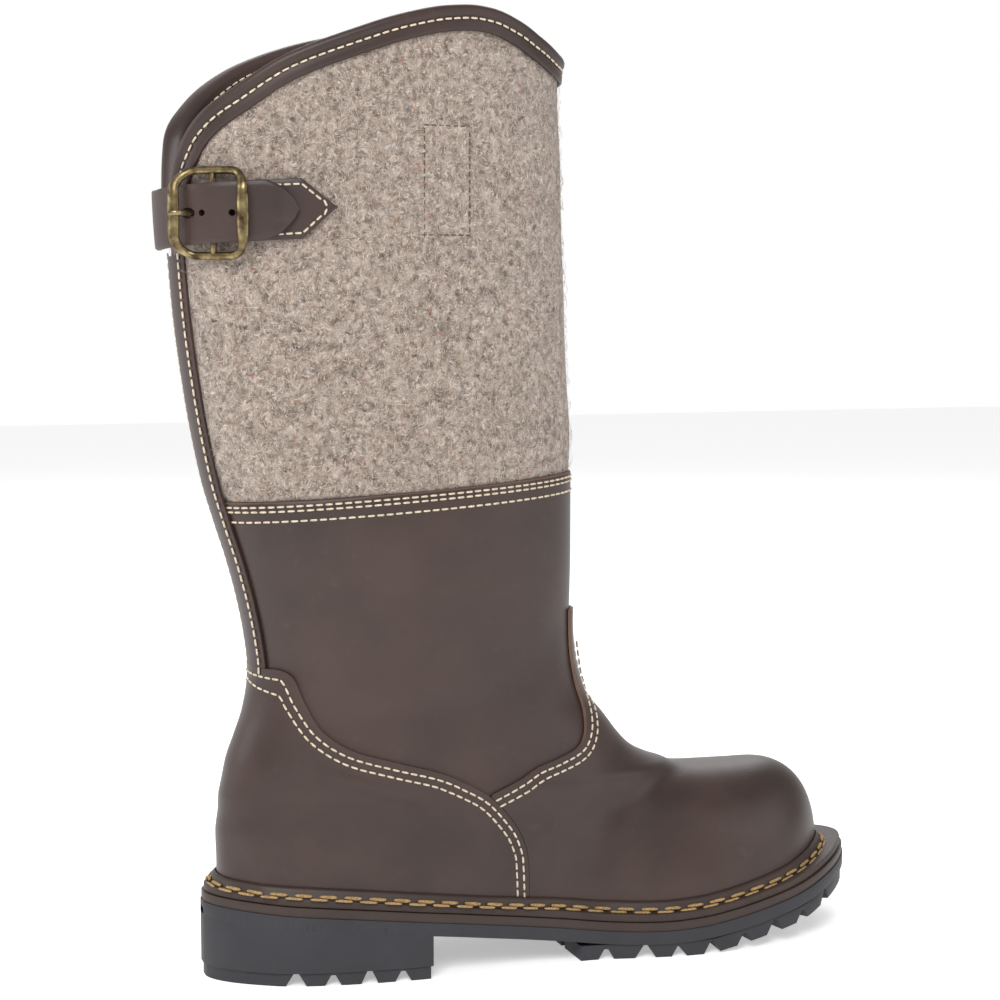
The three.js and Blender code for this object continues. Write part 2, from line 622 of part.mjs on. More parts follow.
function outsole() {
  const plateBottom = (x) => rubberTop(x) - PLATE_THICKNESS;
  const inPlate = (x) => rubberTop(x) - PLATE_THICKNESS / 2;
  const stepTop = (x) => treadHeight(x) + LUG_DEPTH + 0.8;
  const plate = soleSlab({ bottom: plateBottom, top: rubberTop, steps: 32 });
  const heel = soleSlab({ to: HEEL_LENGTH, bottom: (x) => treadHeight(x) + LUG_DEPTH, top: inPlate, steps: 14 });
  const heelTread = soleSlab({
    to: HEEL_LENGTH - LUG_EDGE_STEP, inset: LUG_EDGE_STEP, bottom: treadHeight, top: stepTop, steps: 14,
  });
  const foreTread = soleSlab({
    from: FOREPART_START, inset: LUG_EDGE_STEP, bottom: treadHeight, top: (x) => Math.min(stepTop(x), inPlate(x)),
    steps: 20,
  });
  const ringCut = (from, to) => {
    const depth = (x) => treadHeight(x) + LUG_DEPTH;
    const below = (x) => treadHeight(x) - 2;
    const outer = soleSlab({ from, to, inset: EDGE_LUG_REACH, bottom: below, top: depth, steps: 10 });
    const inner = soleSlab({
      from, to, inset: EDGE_LUG_REACH + TREAD_CHANNEL, bottom: (x) => below(x) - 1, top: (x) => depth(x) + 1, steps: 10,
    });
    return toSolid(outer).subtract(toSolid(inner));
  };
  const tread = joinAll([toSolid(heelTread), toSolid(foreTread)]);
  const cuts = joinAll([
    ...EDGE_GAPS.flatMap((gap) => [edgeGap(gap, -1), edgeGap(gap, 1)]),
    ...CENTRE_GAPS.map(centreGap),
    ringCut(0, HEEL_LENGTH + 5),
    ringCut(FOREPART_START - 5, OUTSOLE_LENGTH),
  ]);
  return toGeometry(joinAll([toSolid(plate), toSolid(heel), tread.subtract(cuts)]));
}

// Midsole, welt and insole
const midsole = () =>
  soleSlab({ inset: MIDSOLE_EDGE_INSET, bottom: midsoleBottom, top: midsoleTop, steps: 32 });

// What stands on the midsole is trimmed to its curved top
const standRoom = toSolid(
  soleSlab({ inset: -4 * WELT_THICKNESS, bottom: featherHeight, top: () => BOOT_HEIGHT, steps: 30 }),
);
const standing = (solid) => solid.intersect(standRoom);

// Point on the sole's edge, on the ray of one turn
function edgePoint(turn, inset, lift) {
  const sheet = lowSheet(0);
  const angle = turn * Math.PI;
  const stepX = -Math.cos(angle) * sheet.reach;
  const stepY = Math.sin(angle) * sheet.half;
  const edge = { back: inset, side: inset, toe: inset };
  const outside = (share) => {
    const x = sheet.middle + stepX * share;
    const y = stepY * share;
    if (x <= inset || x >= OUTSOLE_LENGTH - inset) return true;
    const halves = halfWidths(x, edge);
    return y < 0 ? -y > halves.lateral : y > halves.medial;
  };
  let inner = 0;
  let outer = 2.4;
  for (let i = 0; i < SEARCH_HALVINGS; i += 1) {
    const middle = (inner + outer) / 2;
    if (outside(middle)) outer = middle;
    else inner = middle;
  }
  const x = sheet.middle + stepX * outer;
  return new THREE.Vector3(x, stepY * outer, featherHeight(x) + lift);
}
function welt() {
  const clear = OVERLAY_WALL + 2 * JOIN_GAP;
  const raised = (lift, offset) =>
    footTurns.map((turn) => {
      const foot = surfacePoint(lowSheet(lift), turn);
      const out = outwards(foot).setZ(0).normalize();
      return foot.addScaledVector(out, offset);
    });
  const lipTop = WELT_THICKNESS + STORM_LIP_HEIGHT;
  const outer = (lift) => footTurns.map((turn) => edgePoint(turn, WELT_EDGE_INSET, lift));
  const strip = loopSolid([
    raised(-1, clear),
    outer(-1),
    outer(WELT_THICKNESS),
    raised(WELT_THICKNESS, clear + STORM_LIP_THICKNESS),
    raised(lipTop, clear + STORM_LIP_THICKNESS * 0.7),
    raised(lipTop, clear + 0.2),
  ]);
  return toGeometry(standing(toSolid(strip)));
}
function insole() {
  const outline = ring(lowSheet(0), -(UPPER_WALL + INSOLE_CLEARANCE), footTurns);
  const shape = new THREE.Shape(outline.map((point) => new THREE.Vector2(point.x, point.y)));
  const prism = toSolid(new THREE.ExtrudeGeometry(shape, { depth: HEEL_HEIGHT * 2, bevelEnabled: false }));
  const board = soleSlab({ inset: -1, bottom: featherHeight, top: (x) => featherHeight(x) + INSOLE_THICKNESS });
  return toGeometry(prism.intersect(toSolid(board)));
}

// Leather upper and its overlays
const midRings = [1.2, 1.36];
const upperSheets = [
  ...LOW_RINGS.map((lift) => ({ ...lowSheet(lift), places: footTurns })),
  ...FOOT_RINGS.map((row, i) => ({ ...footSheet(row), places: mixedTurns(i / FOOT_RINGS.length) })),
  ...midRings.map((up) => legSheet(() => up * ANKLE_HEIGHT)),
  legSheet(seamHeight),
];
function upper() {
  const outer = upperSheets.map((sheet) => ring(sheet, 0));
  const inner = upperSheets.map((sheet) => ring(sheet, -UPPER_WALL));
  return toGeometry(standing(toSolid(loopSolid([...outer, ...inner.reverse()]))));
}
function overlayShell(sheets) {
  const near = JOIN_GAP;
  const far = JOIN_GAP + OVERLAY_WALL;
  const shell = [...sheets.map((s) => ring(s, near)), ...sheets.map((s) => ring(s, far)).reverse()];
  return standing(toSolid(loopSolid(shell)));
}
// Prism through the boot, along Y, of a side view outline
function sideCutter(points, from = -BALL_WIDTH, to = BALL_WIDTH) {
  const shape = new THREE.Shape(points.map(([x, z]) => new THREE.Vector2(x, z)));
  const geometry = new THREE.ExtrudeGeometry(shape, { depth: to - from, bevelEnabled: false });
  geometry.rotateX(Math.PI / 2);
  geometry.translate(0, to, 0);
  return toSolid(geometry);
}
const sideView = (rows) => rows.map((row) => [row.at * OUTSOLE_LENGTH, row.up * ANKLE_HEIGHT]);
const footOverlay = () => overlayShell(upperSheets.slice(0, upperSheets.length - 2));
function counter(shell) {
  const edge = sideView(COUNTER_EDGE);
  return toGeometry(shell.intersect(sideCutter([...edge, [-30, 0]])));
}
function vamp(shell) {
  const throat = sideView(VAMP_EDGE).map(([x, z]) => [x + JOIN_GAP, z]);
  const below = sideView(COUNTER_EDGE)
    .filter((point) => point[1] < throat[0][1])
    .map(([x, z]) => [x + JOIN_GAP, z])
    .reverse();
  const beyond = OUTSOLE_LENGTH + 20;
  return toGeometry(
    shell.intersect(sideCutter([...below, ...throat, [beyond, VAMP_EDGE[VAMP_EDGE.length - 1].up * ANKLE_HEIGHT], [beyond, 0]])),
  );
}
function backStrap() {
  const top = BOOT_HEIGHT - COLLAR_DROP - BINDING_DEPTH - JOIN_GAP;
  const bottom = ANKLE_HEIGHT + JOIN_GAP;
  const levels = Array.from({ length: 10 }, (_, i) => bottom + ((top - bottom) * i) / 9);
  const places = Array.from({ length: 40 }, (_, i) => (2 * i) / 40 - 1);
  const wall = (offset) => levels.map((z) => ring(legSheet(() => z), offset, places));
  const shell = toSolid(loopSolid([...wall(1.5 * JOIN_GAP), ...wall(JOIN_GAP + OVERLAY_WALL).reverse()]));
  const cut = new THREE.BoxGeometry(60, 2 * BACK_STRAP_HALF_WIDTH, BOOT_HEIGHT);
  cut.translate(legBack(ANKLE_HEIGHT) - 10, 0, BOOT_HEIGHT / 2);
  return toGeometry(shell.intersect(toSolid(cut)));
}

// Points near the collar's edge, measured square to it along the shaft's surface
const rimLevel = legSheet(() => BOOT_HEIGHT - COLLAR_DROP / 2);
const rimSteps = Array.from({ length: 121 }, (_, i) => i / 120);
const rimPath = rimSteps.map((turn) => surfacePoint(rimLevel, turn));
const rimLength = runningLength(rimPath);
const rimRows = rimSteps.map((turn, i) => ({ turn, along: rimLength[i] }));
const alongAt = column(rimRows, 'turn', (row) => row.along);
const turnAt = column(rimRows, 'along', (row) => row.turn);
function rimPoint(turn, down, offset) {
  const side = Math.sign(turn) || 1;
  const place = Math.abs(turn);
  const step = 0.01;
  const [before, after] = [Math.max(place - step, 0), Math.min(place + step, 1)];
  const run = alongAt(after) - alongAt(before);
  const climb = place === 0 || place === 1 ? 0 : collarHeight(side * after) - collarHeight(side * before);
  const size = Math.hypot(run, climb);
  const along = Math.max(alongAt(place) + (down * climb) / size, 0);
  const z = collarHeight(turn) - (down * run) / size;
  const sheet = legSheet(() => z);
  return offsetPoint(surfacePoint(sheet, side * turnAt(along)), offset);
}
const rimLoop = (down, offset) => turns.map((turn) => rimPoint(turn, down, offset));

// Felt leg, with its lower edge let into the leather and its upper edge in the binding
const FELT_TOP = BINDING_ROLL + BINDING_WALL;
function feltShaft() {
  const lap = UPPER_WALL + 1.5 * JOIN_GAP;
  const plain = (height, offset) => ring(legSheet(height), offset);
  const lower = (offset) => [
    plain((x) => seamHeight(x) - FELT_LAP, offset),
    plain((x) => seamHeight(x) + JOIN_GAP, offset),
  ];
  const middle = (offset) => [
    plain((x) => seamHeight(x) + 2 * JOIN_GAP, offset),
    ...[0.25, 0.5, 0.75].map((share) =>
      plain((x) => THREE.MathUtils.lerp(seamHeight(x), BOOT_HEIGHT - COLLAR_DROP - 2 * BINDING_DEPTH, share), offset),
    ),
    ...[2.6, 1.1].map((deep) => rimLoop(deep * BINDING_DEPTH, offset)),
    rimLoop(FELT_TOP, offset),
  ];
  const outer = [...lower(-lap), ...middle(0)];
  const inner = [...lower(-FELT_WALL), ...middle(-FELT_WALL)];
  return loopSolid([...inner, ...outer.reverse()]);
}

// Binding: a folded strip over the felt's edge, rolled at the top
function collarBinding() {
  const near = JOIN_GAP;
  const out = JOIN_GAP + BINDING_WALL;
  const inside = -FELT_WALL - JOIN_GAP;
  const seat = FELT_TOP - JOIN_GAP;
  return loopSolid([
    rimLoop(BINDING_DEPTH, near),
    rimLoop(BINDING_DEPTH, out),
    rimLoop(BINDING_ROLL * 1.9, out),
    rimLoop(BINDING_ROLL, out + 1.2),
    rimLoop(BINDING_ROLL * 0.35, out + 0.6),
    rimLoop(0, -1),
    rimLoop(0, -3.4),
    rimLoop(BINDING_ROLL * 0.35, inside - BINDING_WALL),
    rimLoop(BINDING_DEPTH, inside - BINDING_WALL),
    rimLoop(BINDING_DEPTH, inside),
    rimLoop(seat, inside),
    rimLoop(seat, near),
  ]);
}

// Strap round the back of the collar: a band of upright sections, its end rounded to a tip
const strapStand = column(STRAP_STAND, 'turn', (row) => row.stand);
const strapMiddle = (turn) => STRAP_HEIGHT + STRAP_CLIMB * Math.abs(turn);
function bandPoint(turn, high, stand) {
  const z = strapMiddle(turn) + high;
  const foot = surfacePoint(legSheet(() => z), turn);
  return foot.addScaledVector(outwards(foot).setZ(0).normalize(), stand);
}
function band(places, half, near, thick) {
  const sections = places.map((turn) => [
    bandPoint(turn, -half(turn), near(turn)),
    bandPoint(turn, half(turn), near(turn)),
    bandPoint(turn, half(turn), near(turn) + thick),
    bandPoint(turn, -half(turn), near(turn) + thick),
  ]);
  return loopSolid(sections, { capped: true });
}
const spread = (from, to, count) => Array.from({ length: count + 1 }, (_, i) => from + ((to - from) * i) / count);

// Frame of axes at the buckle's middle: across runs forward, out leaves the shaft, up is the height
const buckleCentre = bandPoint(BUCKLE_TURN, 0, 0);
const buckleOut = outwards(buckleCentre).setZ(0).normalize();
const buckleAcross = new THREE.Vector3(-buckleOut.y, buckleOut.x, 0);
if (buckleAcross.x < 0) buckleAcross.negate();
const fromBuckle = (across, up, out) =>
  buckleCentre
    .clone()
    .addScaledVector(buckleAcross, across)
    .addScaledVector(buckleOut, out)
    .setZ(buckleCentre.z + up);
function rod(points, radius) {
  const curve = new THREE.CatmullRomCurve3(points);
  const shape = new THREE.Shape();
  shape.absarc(0, 0, radius, 0, 2 * Math.PI);
  return toSolid(
    new THREE.ExtrudeGeometry(shape, { steps: 7, curveSegments: 8, bevelEnabled: false, extrudePath: curve }),
  );
}
const centreBarOut = 3 * JOIN_GAP + TAB_THICKNESS + CENTRE_BAR / 2;
function buckleStrap() {
  const tip = STRAP_STAND[0].turn;
  const end = STRAP_STAND[STRAP_STAND.length - 1].turn;
  const half = (turn) => {
    const tipShare = clamp01((tip + STRAP_TIP_ROUND - turn) / STRAP_TIP_ROUND);
    const endShare = clamp01((turn - end + STRAP_TIP_ROUND / 2) / (STRAP_TIP_ROUND / 2));
    return (STRAP_WIDTH / 2) * Math.max(1 - tipShare ** 1.8, 0.12) * (1 - 0.55 * endShare);
  };
  const places = [
    ...spread(tip, tip + STRAP_TIP_ROUND, 5),
    ...spread(tip + STRAP_TIP_ROUND, end - STRAP_TIP_ROUND / 2, 24).slice(1),
    end,
  ];
  const strap = toSolid(band(places, half, strapStand, STRAP_THICKNESS));
  const holes = STRAP_HOLES.map((across) => {
    const forProng = across === STRAP_HOLES[0];
    const radius = forProng ? PRONG_HOLE : STRAP_HOLE;
    const hole = new THREE.CylinderGeometry(radius, radius, 12, 10);
    hole.rotateX(Math.PI / 2);
    if (forProng) hole.scale(1.6, 1, 1);
    const matrix = new THREE.Matrix4().makeBasis(buckleAcross, new THREE.Vector3(0, 0, 1), buckleOut);
    hole.applyMatrix4(matrix);
    const at = fromBuckle(across, 0, 7);
    hole.translate(at.x, at.y, at.z);
    return hole;
  });
  return toGeometry(strap.subtract(joinAll(holes.map((hole) => toSolid(faceOutwards(mergeBare(hole)))))));
}
function mergeBare(geometry) {
  const bare = geometry.clone();
  bare.deleteAttribute('normal');
  bare.deleteAttribute('uv');
  return mergeVertices(bare, 1e-4);
}
function buckleTab() {
  const { start, point, tip } = TAB_TURNS;
  const half = (turn) => (STRAP_WIDTH / 2) * Math.max(1 - clamp01((point - turn) / (point - tip)), 0.12);
  const places = [...spread(tip, point, 4), ...spread(point, start, 12).slice(1)];
  return band(places, half, () => JOIN_GAP, TAB_THICKNESS);
}
function buckleFrame() {
  const [halfAcross, halfUp] = [(BUCKLE_WIDTH - BUCKLE_BAR) / 2, (BUCKLE_HEIGHT - BUCKLE_BAR) / 2];
  const bow = (across, up) =>
    centreBarOut + BUCKLE_BOW * (1 - (up / halfUp) ** 8) * (Math.abs(across) / halfAcross) ** 3;
  const outline = new THREE.Shape();
  const corner = BUCKLE_CORNER;
  outline.absarc(halfAcross - corner, halfUp - corner, corner, 0, Math.PI / 2);
  outline.absarc(-halfAcross + corner, halfUp - corner, corner, Math.PI / 2, Math.PI);
  outline.absarc(-halfAcross + corner, -halfUp + corner, corner, Math.PI, 1.5 * Math.PI);
  outline.absarc(halfAcross - corner, -halfUp + corner, corner, 1.5 * Math.PI, 2 * Math.PI);
  outline.closePath();
  const path = outline.getSpacedPoints(28).slice(0, 28);
  const loops = path.map((place, i) => {
    const next = path[(i + 1) % path.length];
    const last = path[(i + path.length - 1) % path.length];
    const along = next.clone().sub(last).normalize();
    const sideways = clamp01((Math.abs(place.x) - halfAcross + corner) / corner);
    const broad = 1 + BAR_SWELL * sideways * (1 - (place.y / halfUp) ** 2);
    return spread(0, 1, 6).slice(0, 6).map((share) => {
      const angle = share * 2 * Math.PI;
      const wide = (Math.cos(angle) * BUCKLE_BAR * broad) / 2;
      const deep = (Math.sin(angle) * BUCKLE_BAR_DEPTH) / 2;
      const out = bow(place.x, place.y) + deep;
      return fromBuckle(place.x + along.y * wide, place.y - along.x * wide, out);
    });
  });
  const bar = rod([-1, 0, 1].map((share) => fromBuckle(0, share * halfUp, centreBarOut)), CENTRE_BAR / 2);
  return toGeometry(toSolid(loopSolid(loops)).add(bar));
}
function bucklePiece(points) {
  return toGeometry(rod(points, PRONG / 2));
}
function buckleProng() {
  const top = centreBarOut + BUCKLE_BOW + BUCKLE_BAR_DEPTH / 2 + PRONG / 2 + JOIN_GAP;
  const edge = -(BUCKLE_WIDTH - BUCKLE_BAR) / 2;
  return bucklePiece([
    fromBuckle(-(CENTRE_BAR + PRONG) / 2 - JOIN_GAP, 0, centreBarOut),
    fromBuckle(-7.2, 0, centreBarOut),
    fromBuckle(-11.8, 0, top - 0.6),
    fromBuckle(edge - 1, 0, top),
  ]);
}

// Finish: name, colour and roughness of each piece
const finishes = {
  leather: new THREE.MeshStandardMaterial({ color: 0x3e302d, roughness: 0.45, metalness: 0 }),
  edgeLeather: new THREE.MeshStandardMaterial({ color: 0x46352f, roughness: 0.5, metalness: 0 }),
  felt: new THREE.MeshStandardMaterial({ color: 0xac9c8f, roughness: 0.95, metalness: 0 }),
  rubber: new THREE.MeshStandardMaterial({ color: 0x3e3d43, roughness: 0.75, metalness: 0 }),
  brass: new THREE.MeshStandardMaterial({ color: 0x87734a, roughness: 0.4, metalness: 0.9 }),
};
const boot = new THREE.Group();
function addPiece(name, geometry, finish) {
  const mesh = new THREE.Mesh(geometry, finishes[finish]);
  mesh.name = name;
  boot.add(mesh);
}

const overlay = footOverlay();
addPiece('outsole', outsole(), 'rubber');
addPiece('midsole', midsole(), 'edgeLeather');
addPiece('welt', welt(), 'edgeLeather');
addPiece('insole', insole(), 'leather');
addPiece('upper', upper(), 'leather');
addPiece('vamp', vamp(overlay), 'leather');
addPiece('counter', counter(overlay), 'leather');
addPiece('felt_shaft', feltShaft(), 'felt');
addPiece('back_strap', backStrap(), 'leather');
addPiece('collar_binding', collarBinding(), 'leather');
addPiece('buckle_strap', buckleStrap(), 'leather');
addPiece('buckle_tab', buckleTab(), 'leather');
addPiece('buckle_frame', buckleFrame(), 'brass');
addPiece('buckle_prong', buckleProng(), 'brass');

// The origin is under the middle of the boot, on the floor
const box = new THREE.Box3().setFromObject(boot);
boot.position.set(-(box.min.x + box.max.x) / 2, -(box.min.y + box.max.y) / 2, -box.min.z);

export default boot;
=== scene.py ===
"""Tall felt boot: leather foot, felt leg, bound collar, buckled strap and ribbed rubber sole."""

import math

import bmesh
import bpy
import numpy as np
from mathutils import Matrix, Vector


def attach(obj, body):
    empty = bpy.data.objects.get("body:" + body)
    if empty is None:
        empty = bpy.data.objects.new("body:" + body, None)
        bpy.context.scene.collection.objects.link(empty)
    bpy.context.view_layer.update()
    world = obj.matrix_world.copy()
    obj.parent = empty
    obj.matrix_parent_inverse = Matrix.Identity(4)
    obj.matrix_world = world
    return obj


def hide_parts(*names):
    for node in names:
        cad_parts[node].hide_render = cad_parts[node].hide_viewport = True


bl_info = {
    "name": "Felt boot",
    "version": (1, 0, 0),
    "blender": (4, 5, 0),
    "location": "View3D > Sidebar > Boot",
    "description": "Builds a tall felt boot with a leather foot, a bound collar and a buckled strap",
    "category": "Add Mesh",
}

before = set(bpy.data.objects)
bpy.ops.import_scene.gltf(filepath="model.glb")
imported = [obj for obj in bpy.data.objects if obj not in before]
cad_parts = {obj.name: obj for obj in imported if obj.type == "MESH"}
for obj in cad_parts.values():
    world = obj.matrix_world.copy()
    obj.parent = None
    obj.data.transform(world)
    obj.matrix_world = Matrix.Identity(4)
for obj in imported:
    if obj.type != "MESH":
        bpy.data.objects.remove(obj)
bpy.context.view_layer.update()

# Frame: the solids are centred on their own box, so the boot's own lengths start at its heel
CENTRE = np.array([142.00736, 1.54883, 0.0])

# Main sizes in millimetres
OUTSOLE_LENGTH = 300.0
BALL_WIDTH = 101.0
HEEL_WIDTH = 68.4
HEEL_HEIGHT = 32.3
BALL_HEIGHT = 11.4
TOE_HEIGHT = 30.5
TOE_SPRING = 18.0
INSTEP_HEIGHT = 78.0
ANKLE_HEIGHT = 131.0
BOOT_HEIGHT = 403.0
SHAFT_WIDTH = 85.0
SEAM_BACK_HEIGHT = 199.0
SEAM_FRONT_HEIGHT = 209.0
JOIN_GAP = 0.3
MIDSOLE_THICKNESS = 3.9
WELT_THICKNESS = 3.3
STORM_LIP_HEIGHT = 4.4
STORM_LIP_THICKNESS = 2.2
UPPER_WALL = 2.3
OVERLAY_WALL = 1.6
FELT_WALL = 5.0
FELT_LAP = 11.0
BINDING_WALL = 1.5
BINDING_DEPTH = 10.5
BINDING_ROLL = 3.4
UPPER_SIDE_INSET = 9.0
UPPER_TOE_INSET = 16.0
WELT_EDGE_INSET = 1.4
PLATE_THICKNESS = 5.6
HEEL_LENGTH = 90.0
FOREPART_START = 157.0
LUG_DEPTH = 5.6
NOTCH_DEPTH = 2.6
LUG_EDGE_STEP = 0.9
EDGE_LUG_REACH = 21.0
TREAD_CHANNEL = 4.0
HEEL_ROUND = 36.0
TOE_ROUND = 46.0
BACK_STRAP_HALF_WIDTH = 12.0
STRAP_WIDTH = 24.0
STRAP_THICKNESS = 2.4
STRAP_HEIGHT = BOOT_HEIGHT - 87.3
STRAP_CLIMB = 12.0
STRAP_HOLE = 1.4
PRONG_HOLE = 2.2
STRAP_HOLES = [-9.8, -3.0, 9.4]
TAB_THICKNESS = 1.8
BUCKLE_WIDTH = 33.0
BAR_SWELL = 0.6
BUCKLE_HEIGHT = 37.0
BUCKLE_BAR = 3.2
BUCKLE_BAR_DEPTH = 2.8
BUCKLE_CORNER = 8.0
BUCKLE_BOW = 5.2
CENTRE_BAR = 2.6
PRONG = 2.4
BUCKLE_TURN = -0.2
TOE_FULLNESS = 3.0
LEG_ROUNDNESS = 2.15
FOOT_ROUNDNESS = 2.3
FOOT_START = 30.0
INSTEP_BLEND = 14.0
COLLAR_DROP = 91.0
PLAN_MIDDLE, PLAN_REACH = 0.493, 0.46
OVERLAY_TOP = JOIN_GAP + OVERLAY_WALL + 0.1
STRIP_COLUMNS = 17
INSOLE_INSET = 4.4
SEAM_ROWS = (1.5, 3.4, 7.6)
OVERLAY_ROWS = (2.7, 5.9)
COLLAR_ROW = 5.7
PULL_LOOP_PLACE, PULL_LOOP_HEIGHT = (87.0, 107.0), (310.0, 354.0)
PULL_LOOP_STITCH = (3.2, 2.3, 0.6)
SEWN_TURNS, SEWN_HALF_WIDTH = (0.285, 0.345), 7.5
TAB_ROW_INSET = 2.3
UPPER_COLUMNS, UPPER_ROWS = 220, 106
FELT_COLUMNS, FELT_ROWS = 240, 34
FIBRE_SEED = 7
BUCKLE_LEVEL = 3 * JOIN_GAP + TAB_THICKNESS + CENTRE_BAR / 2

# Camera and light
CAMERA_PLACE = np.array([-174.9, -892.7, 285.4])
CAMERA_PITCH, CAMERA_TURN = math.radians(5.352), math.radians(20)
CAMERA_LENS, CAMERA_SHIFT = 78.5, -0.0358
FLOOR_HALF = 4.0
# Soft lights: name, place in metres, size, power
LIGHTS = [
    ("key", (-0.7, -1.2, 1.25), 0.8, 21), ("fill", (1.4, -1.2, 0.8), 1.2, 7),
    ("back", (0.5, 1.4, 1.5), 1.2, 12), ("side", (-1.5, 0.3, 0.7), 0.8, 6),
]

# Sole outline: share of the length, outer and inner half width as shares of the ball width
SOLE_OUTLINE = [
    (0.0, 0.228, 0.228), (0.05, 0.257, 0.267), (0.1, 0.301, 0.312), (0.167, 0.351, 0.347),
    (0.233, 0.381, 0.361), (0.3, 0.396, 0.356), (0.367, 0.391, 0.35), (0.45, 0.381, 0.343),
    (0.533, 0.386, 0.358), (0.617, 0.436, 0.408), (0.683, 0.47, 0.465), (0.75, 0.48, 0.51),
    (0.817, 0.463, 0.51), (0.883, 0.421, 0.455), (0.943, 0.361, 0.39), (0.98, 0.307, 0.335),
    (1.0, 0.277, 0.305),
]
# Top of the rubber: share of the length, share of the heel's rise, share of the toe's rise
SOLE_TOP = [
    (0.0, 1.0, 0), (0.08, 0.904, 0), (0.19, 0.775, 0), (0.305, 0.589, 0), (0.427, 0.335, 0),
    (0.49, 0.201, 0), (0.573, 0.038, 0), (0.64, 0, 0), (0.7, 0, 0.047), (0.744, 0, 0.147),
    (0.843, 0, 0.45), (0.93, 0, 0.79), (1.0, 0, 1.0),
]
# Tread line: share of the length, share of the toe spring
TREAD_LINE = [
    (0.0, 0), (0.71, 0), (0.745, 0.1), (0.79, 0.24), (0.837, 0.39), (0.877, 0.53), (0.91, 0.7),
    (0.953, 0.88), (1.0, 1.0),
]
# Ridge of the vamp: share of the length, share of the instep height
VAMP_RIDGE = [
    (0, 0.77), (0.3, 0.85), (0.5, 1), (0.62, 1), (0.68, 0.968), (0.75, 0.938), (0.82, 0.932),
    (0.9, 0.965), (1, 0.98),
]
# Leg sections: height (0 to 1 to the ankle, 1 to 2 to the peak), back, front, heel and shaft shares
LEG_SECTIONS = [
    (0.076, 0.0308, 0.56, 0.86, 0), (0.229, 0.0298, 0.59, 0.93, 0), (0.344, 0.0298, 0.612, 0.97, 0),
    (0.458, 0.0288, 0.645, 0.995, 0), (0.534, 0.0328, 0.672, 1, 0), (0.58, 0.0338, 0.683, 1, 0),
    (0.603, 0.0358, 0.665, 1, 0), (0.634, 0.0388, 0.643, 0.995, 0), (0.695, 0.0448, 0.62, 0.99, 0),
    (0.763, 0.0558, 0.597, 0.985, 0), (0.847, 0.0688, 0.568, 0.985, 0),
    (0.947, 0.0768, 0.553, 0.85, 0.125), (1, 0.0778, 0.549, 0.76, 0.205),
    (1.044, 0.0738, 0.546, 0.6, 0.355), (1.099, 0.0648, 0.547, 0.42, 0.525),
    (1.165, 0.0498, 0.548, 0.25, 0.69), (1.224, 0.0332, 0.548, 0.13, 0.805),
    (1.294, 0.0152, 0.548, 0.05, 0.885), (1.423, -0.006, 0.543, 0, 0.95),
    (1.5625, -0.021, 0.536, 0, 0.967), (1.728, -0.0295, 0.531, 0, 0.982),
    (1.875, -0.034, 0.527, 0, 0.993), (2, -0.037, 0.527, 0, 1),
]
# Rings that lean over the foot: back height, front place, lateness of the bend
FOOT_RINGS = [
    (0.46, 0.93, 3), (0.475, 0.9, 4), (0.49, 0.855, 5), (0.508, 0.8, 6), (0.525, 0.74, 7),
    (0.55, 0.69, 8), (0.6, 0.657, 2), (0.68, 0.632, 2), (0.77, 0.607, 2), (0.87, 0.582, 2),
    (0.98, 0.563, 2), (1.09, 0.552, 2),
]
LOW_LIFTS = [0.0, 9.0, 17.0]
LEG_LEVELS = [1.2, 1.36]
# Collar edge: turn from back to front, shares of the drop on the outer and the inner side
COLLAR_EDGE = [
    (0, 0.06, 0.06), (0.05, 0.19, 0.2), (0.078, 0.295, 0.33), (0.1, 0.355, 0.42), (0.125, 0.42, 0.478),
    (0.18, 0.52, 0.57), (0.245, 0.612, 0.678), (0.33, 0.747, 0.798), (0.44, 0.871, 0.905),
    (0.52, 0.948, 0.955), (0.59, 0.991, 0.991), (0.633, 1, 1), (0.67, 0.991, 0.991),
    (0.73, 0.945, 0.945), (0.79, 0.885, 0.885), (0.88, 0.824, 0.824), (1, 0.802, 0.802),
]
# Side views of the counter's and the vamp's edges: share of the length, share of the ankle height
COUNTER_EDGE = [
    (-0.05, 1.0), (0.093, 1.0), (0.112, 0.985), (0.13, 0.895), (0.152, 0.81), (0.192, 0.745),
    (0.253, 0.7), (0.317, 0.657), (0.36, 0.61), (0.388, 0.57), (0.417, 0.5), (0.437, 0.43),
    (0.447, 0.35), (0.452, 0.0),
]
VAMP_EDGE = [
    (0.388, 0.57), (0.437, 0.617), (0.467, 0.65), (0.503, 0.672), (0.537, 0.703), (0.55, 0.755),
    (0.553, 0.82), (0.545, 0.9), (0.538, 1.02), (0.537, 1.14),
]
# Gaps in the edge of the tread: share of the length, width, depth
EDGE_GAPS = [
    (0.11, 9, LUG_DEPTH), (0.16, 4, NOTCH_DEPTH), (0.21, 7, LUG_DEPTH), (0.257, 4, NOTCH_DEPTH),
    (0.56, 4, NOTCH_DEPTH), (0.616, 9.5, LUG_DEPTH), (0.665, 4, NOTCH_DEPTH), (0.716, 8, LUG_DEPTH),
    (0.768, 4, NOTCH_DEPTH), (0.82, 8, LUG_DEPTH), (0.872, 4, NOTCH_DEPTH), (0.924, 7, LUG_DEPTH),
]
CENTRE_GAPS = [0.14, 0.225, 0.6, 0.69, 0.78, 0.87]
# Insole: share of its plan, height over the midsole
INSOLE_SECTION = [
    (0.985, 0.1), (1.0, 1.0), (1.0, 3.0), (0.985, 3.9), (0.9, 4.0), (0.7, 3.9), (0.45, 3.8), (0.2, 3.8),
]
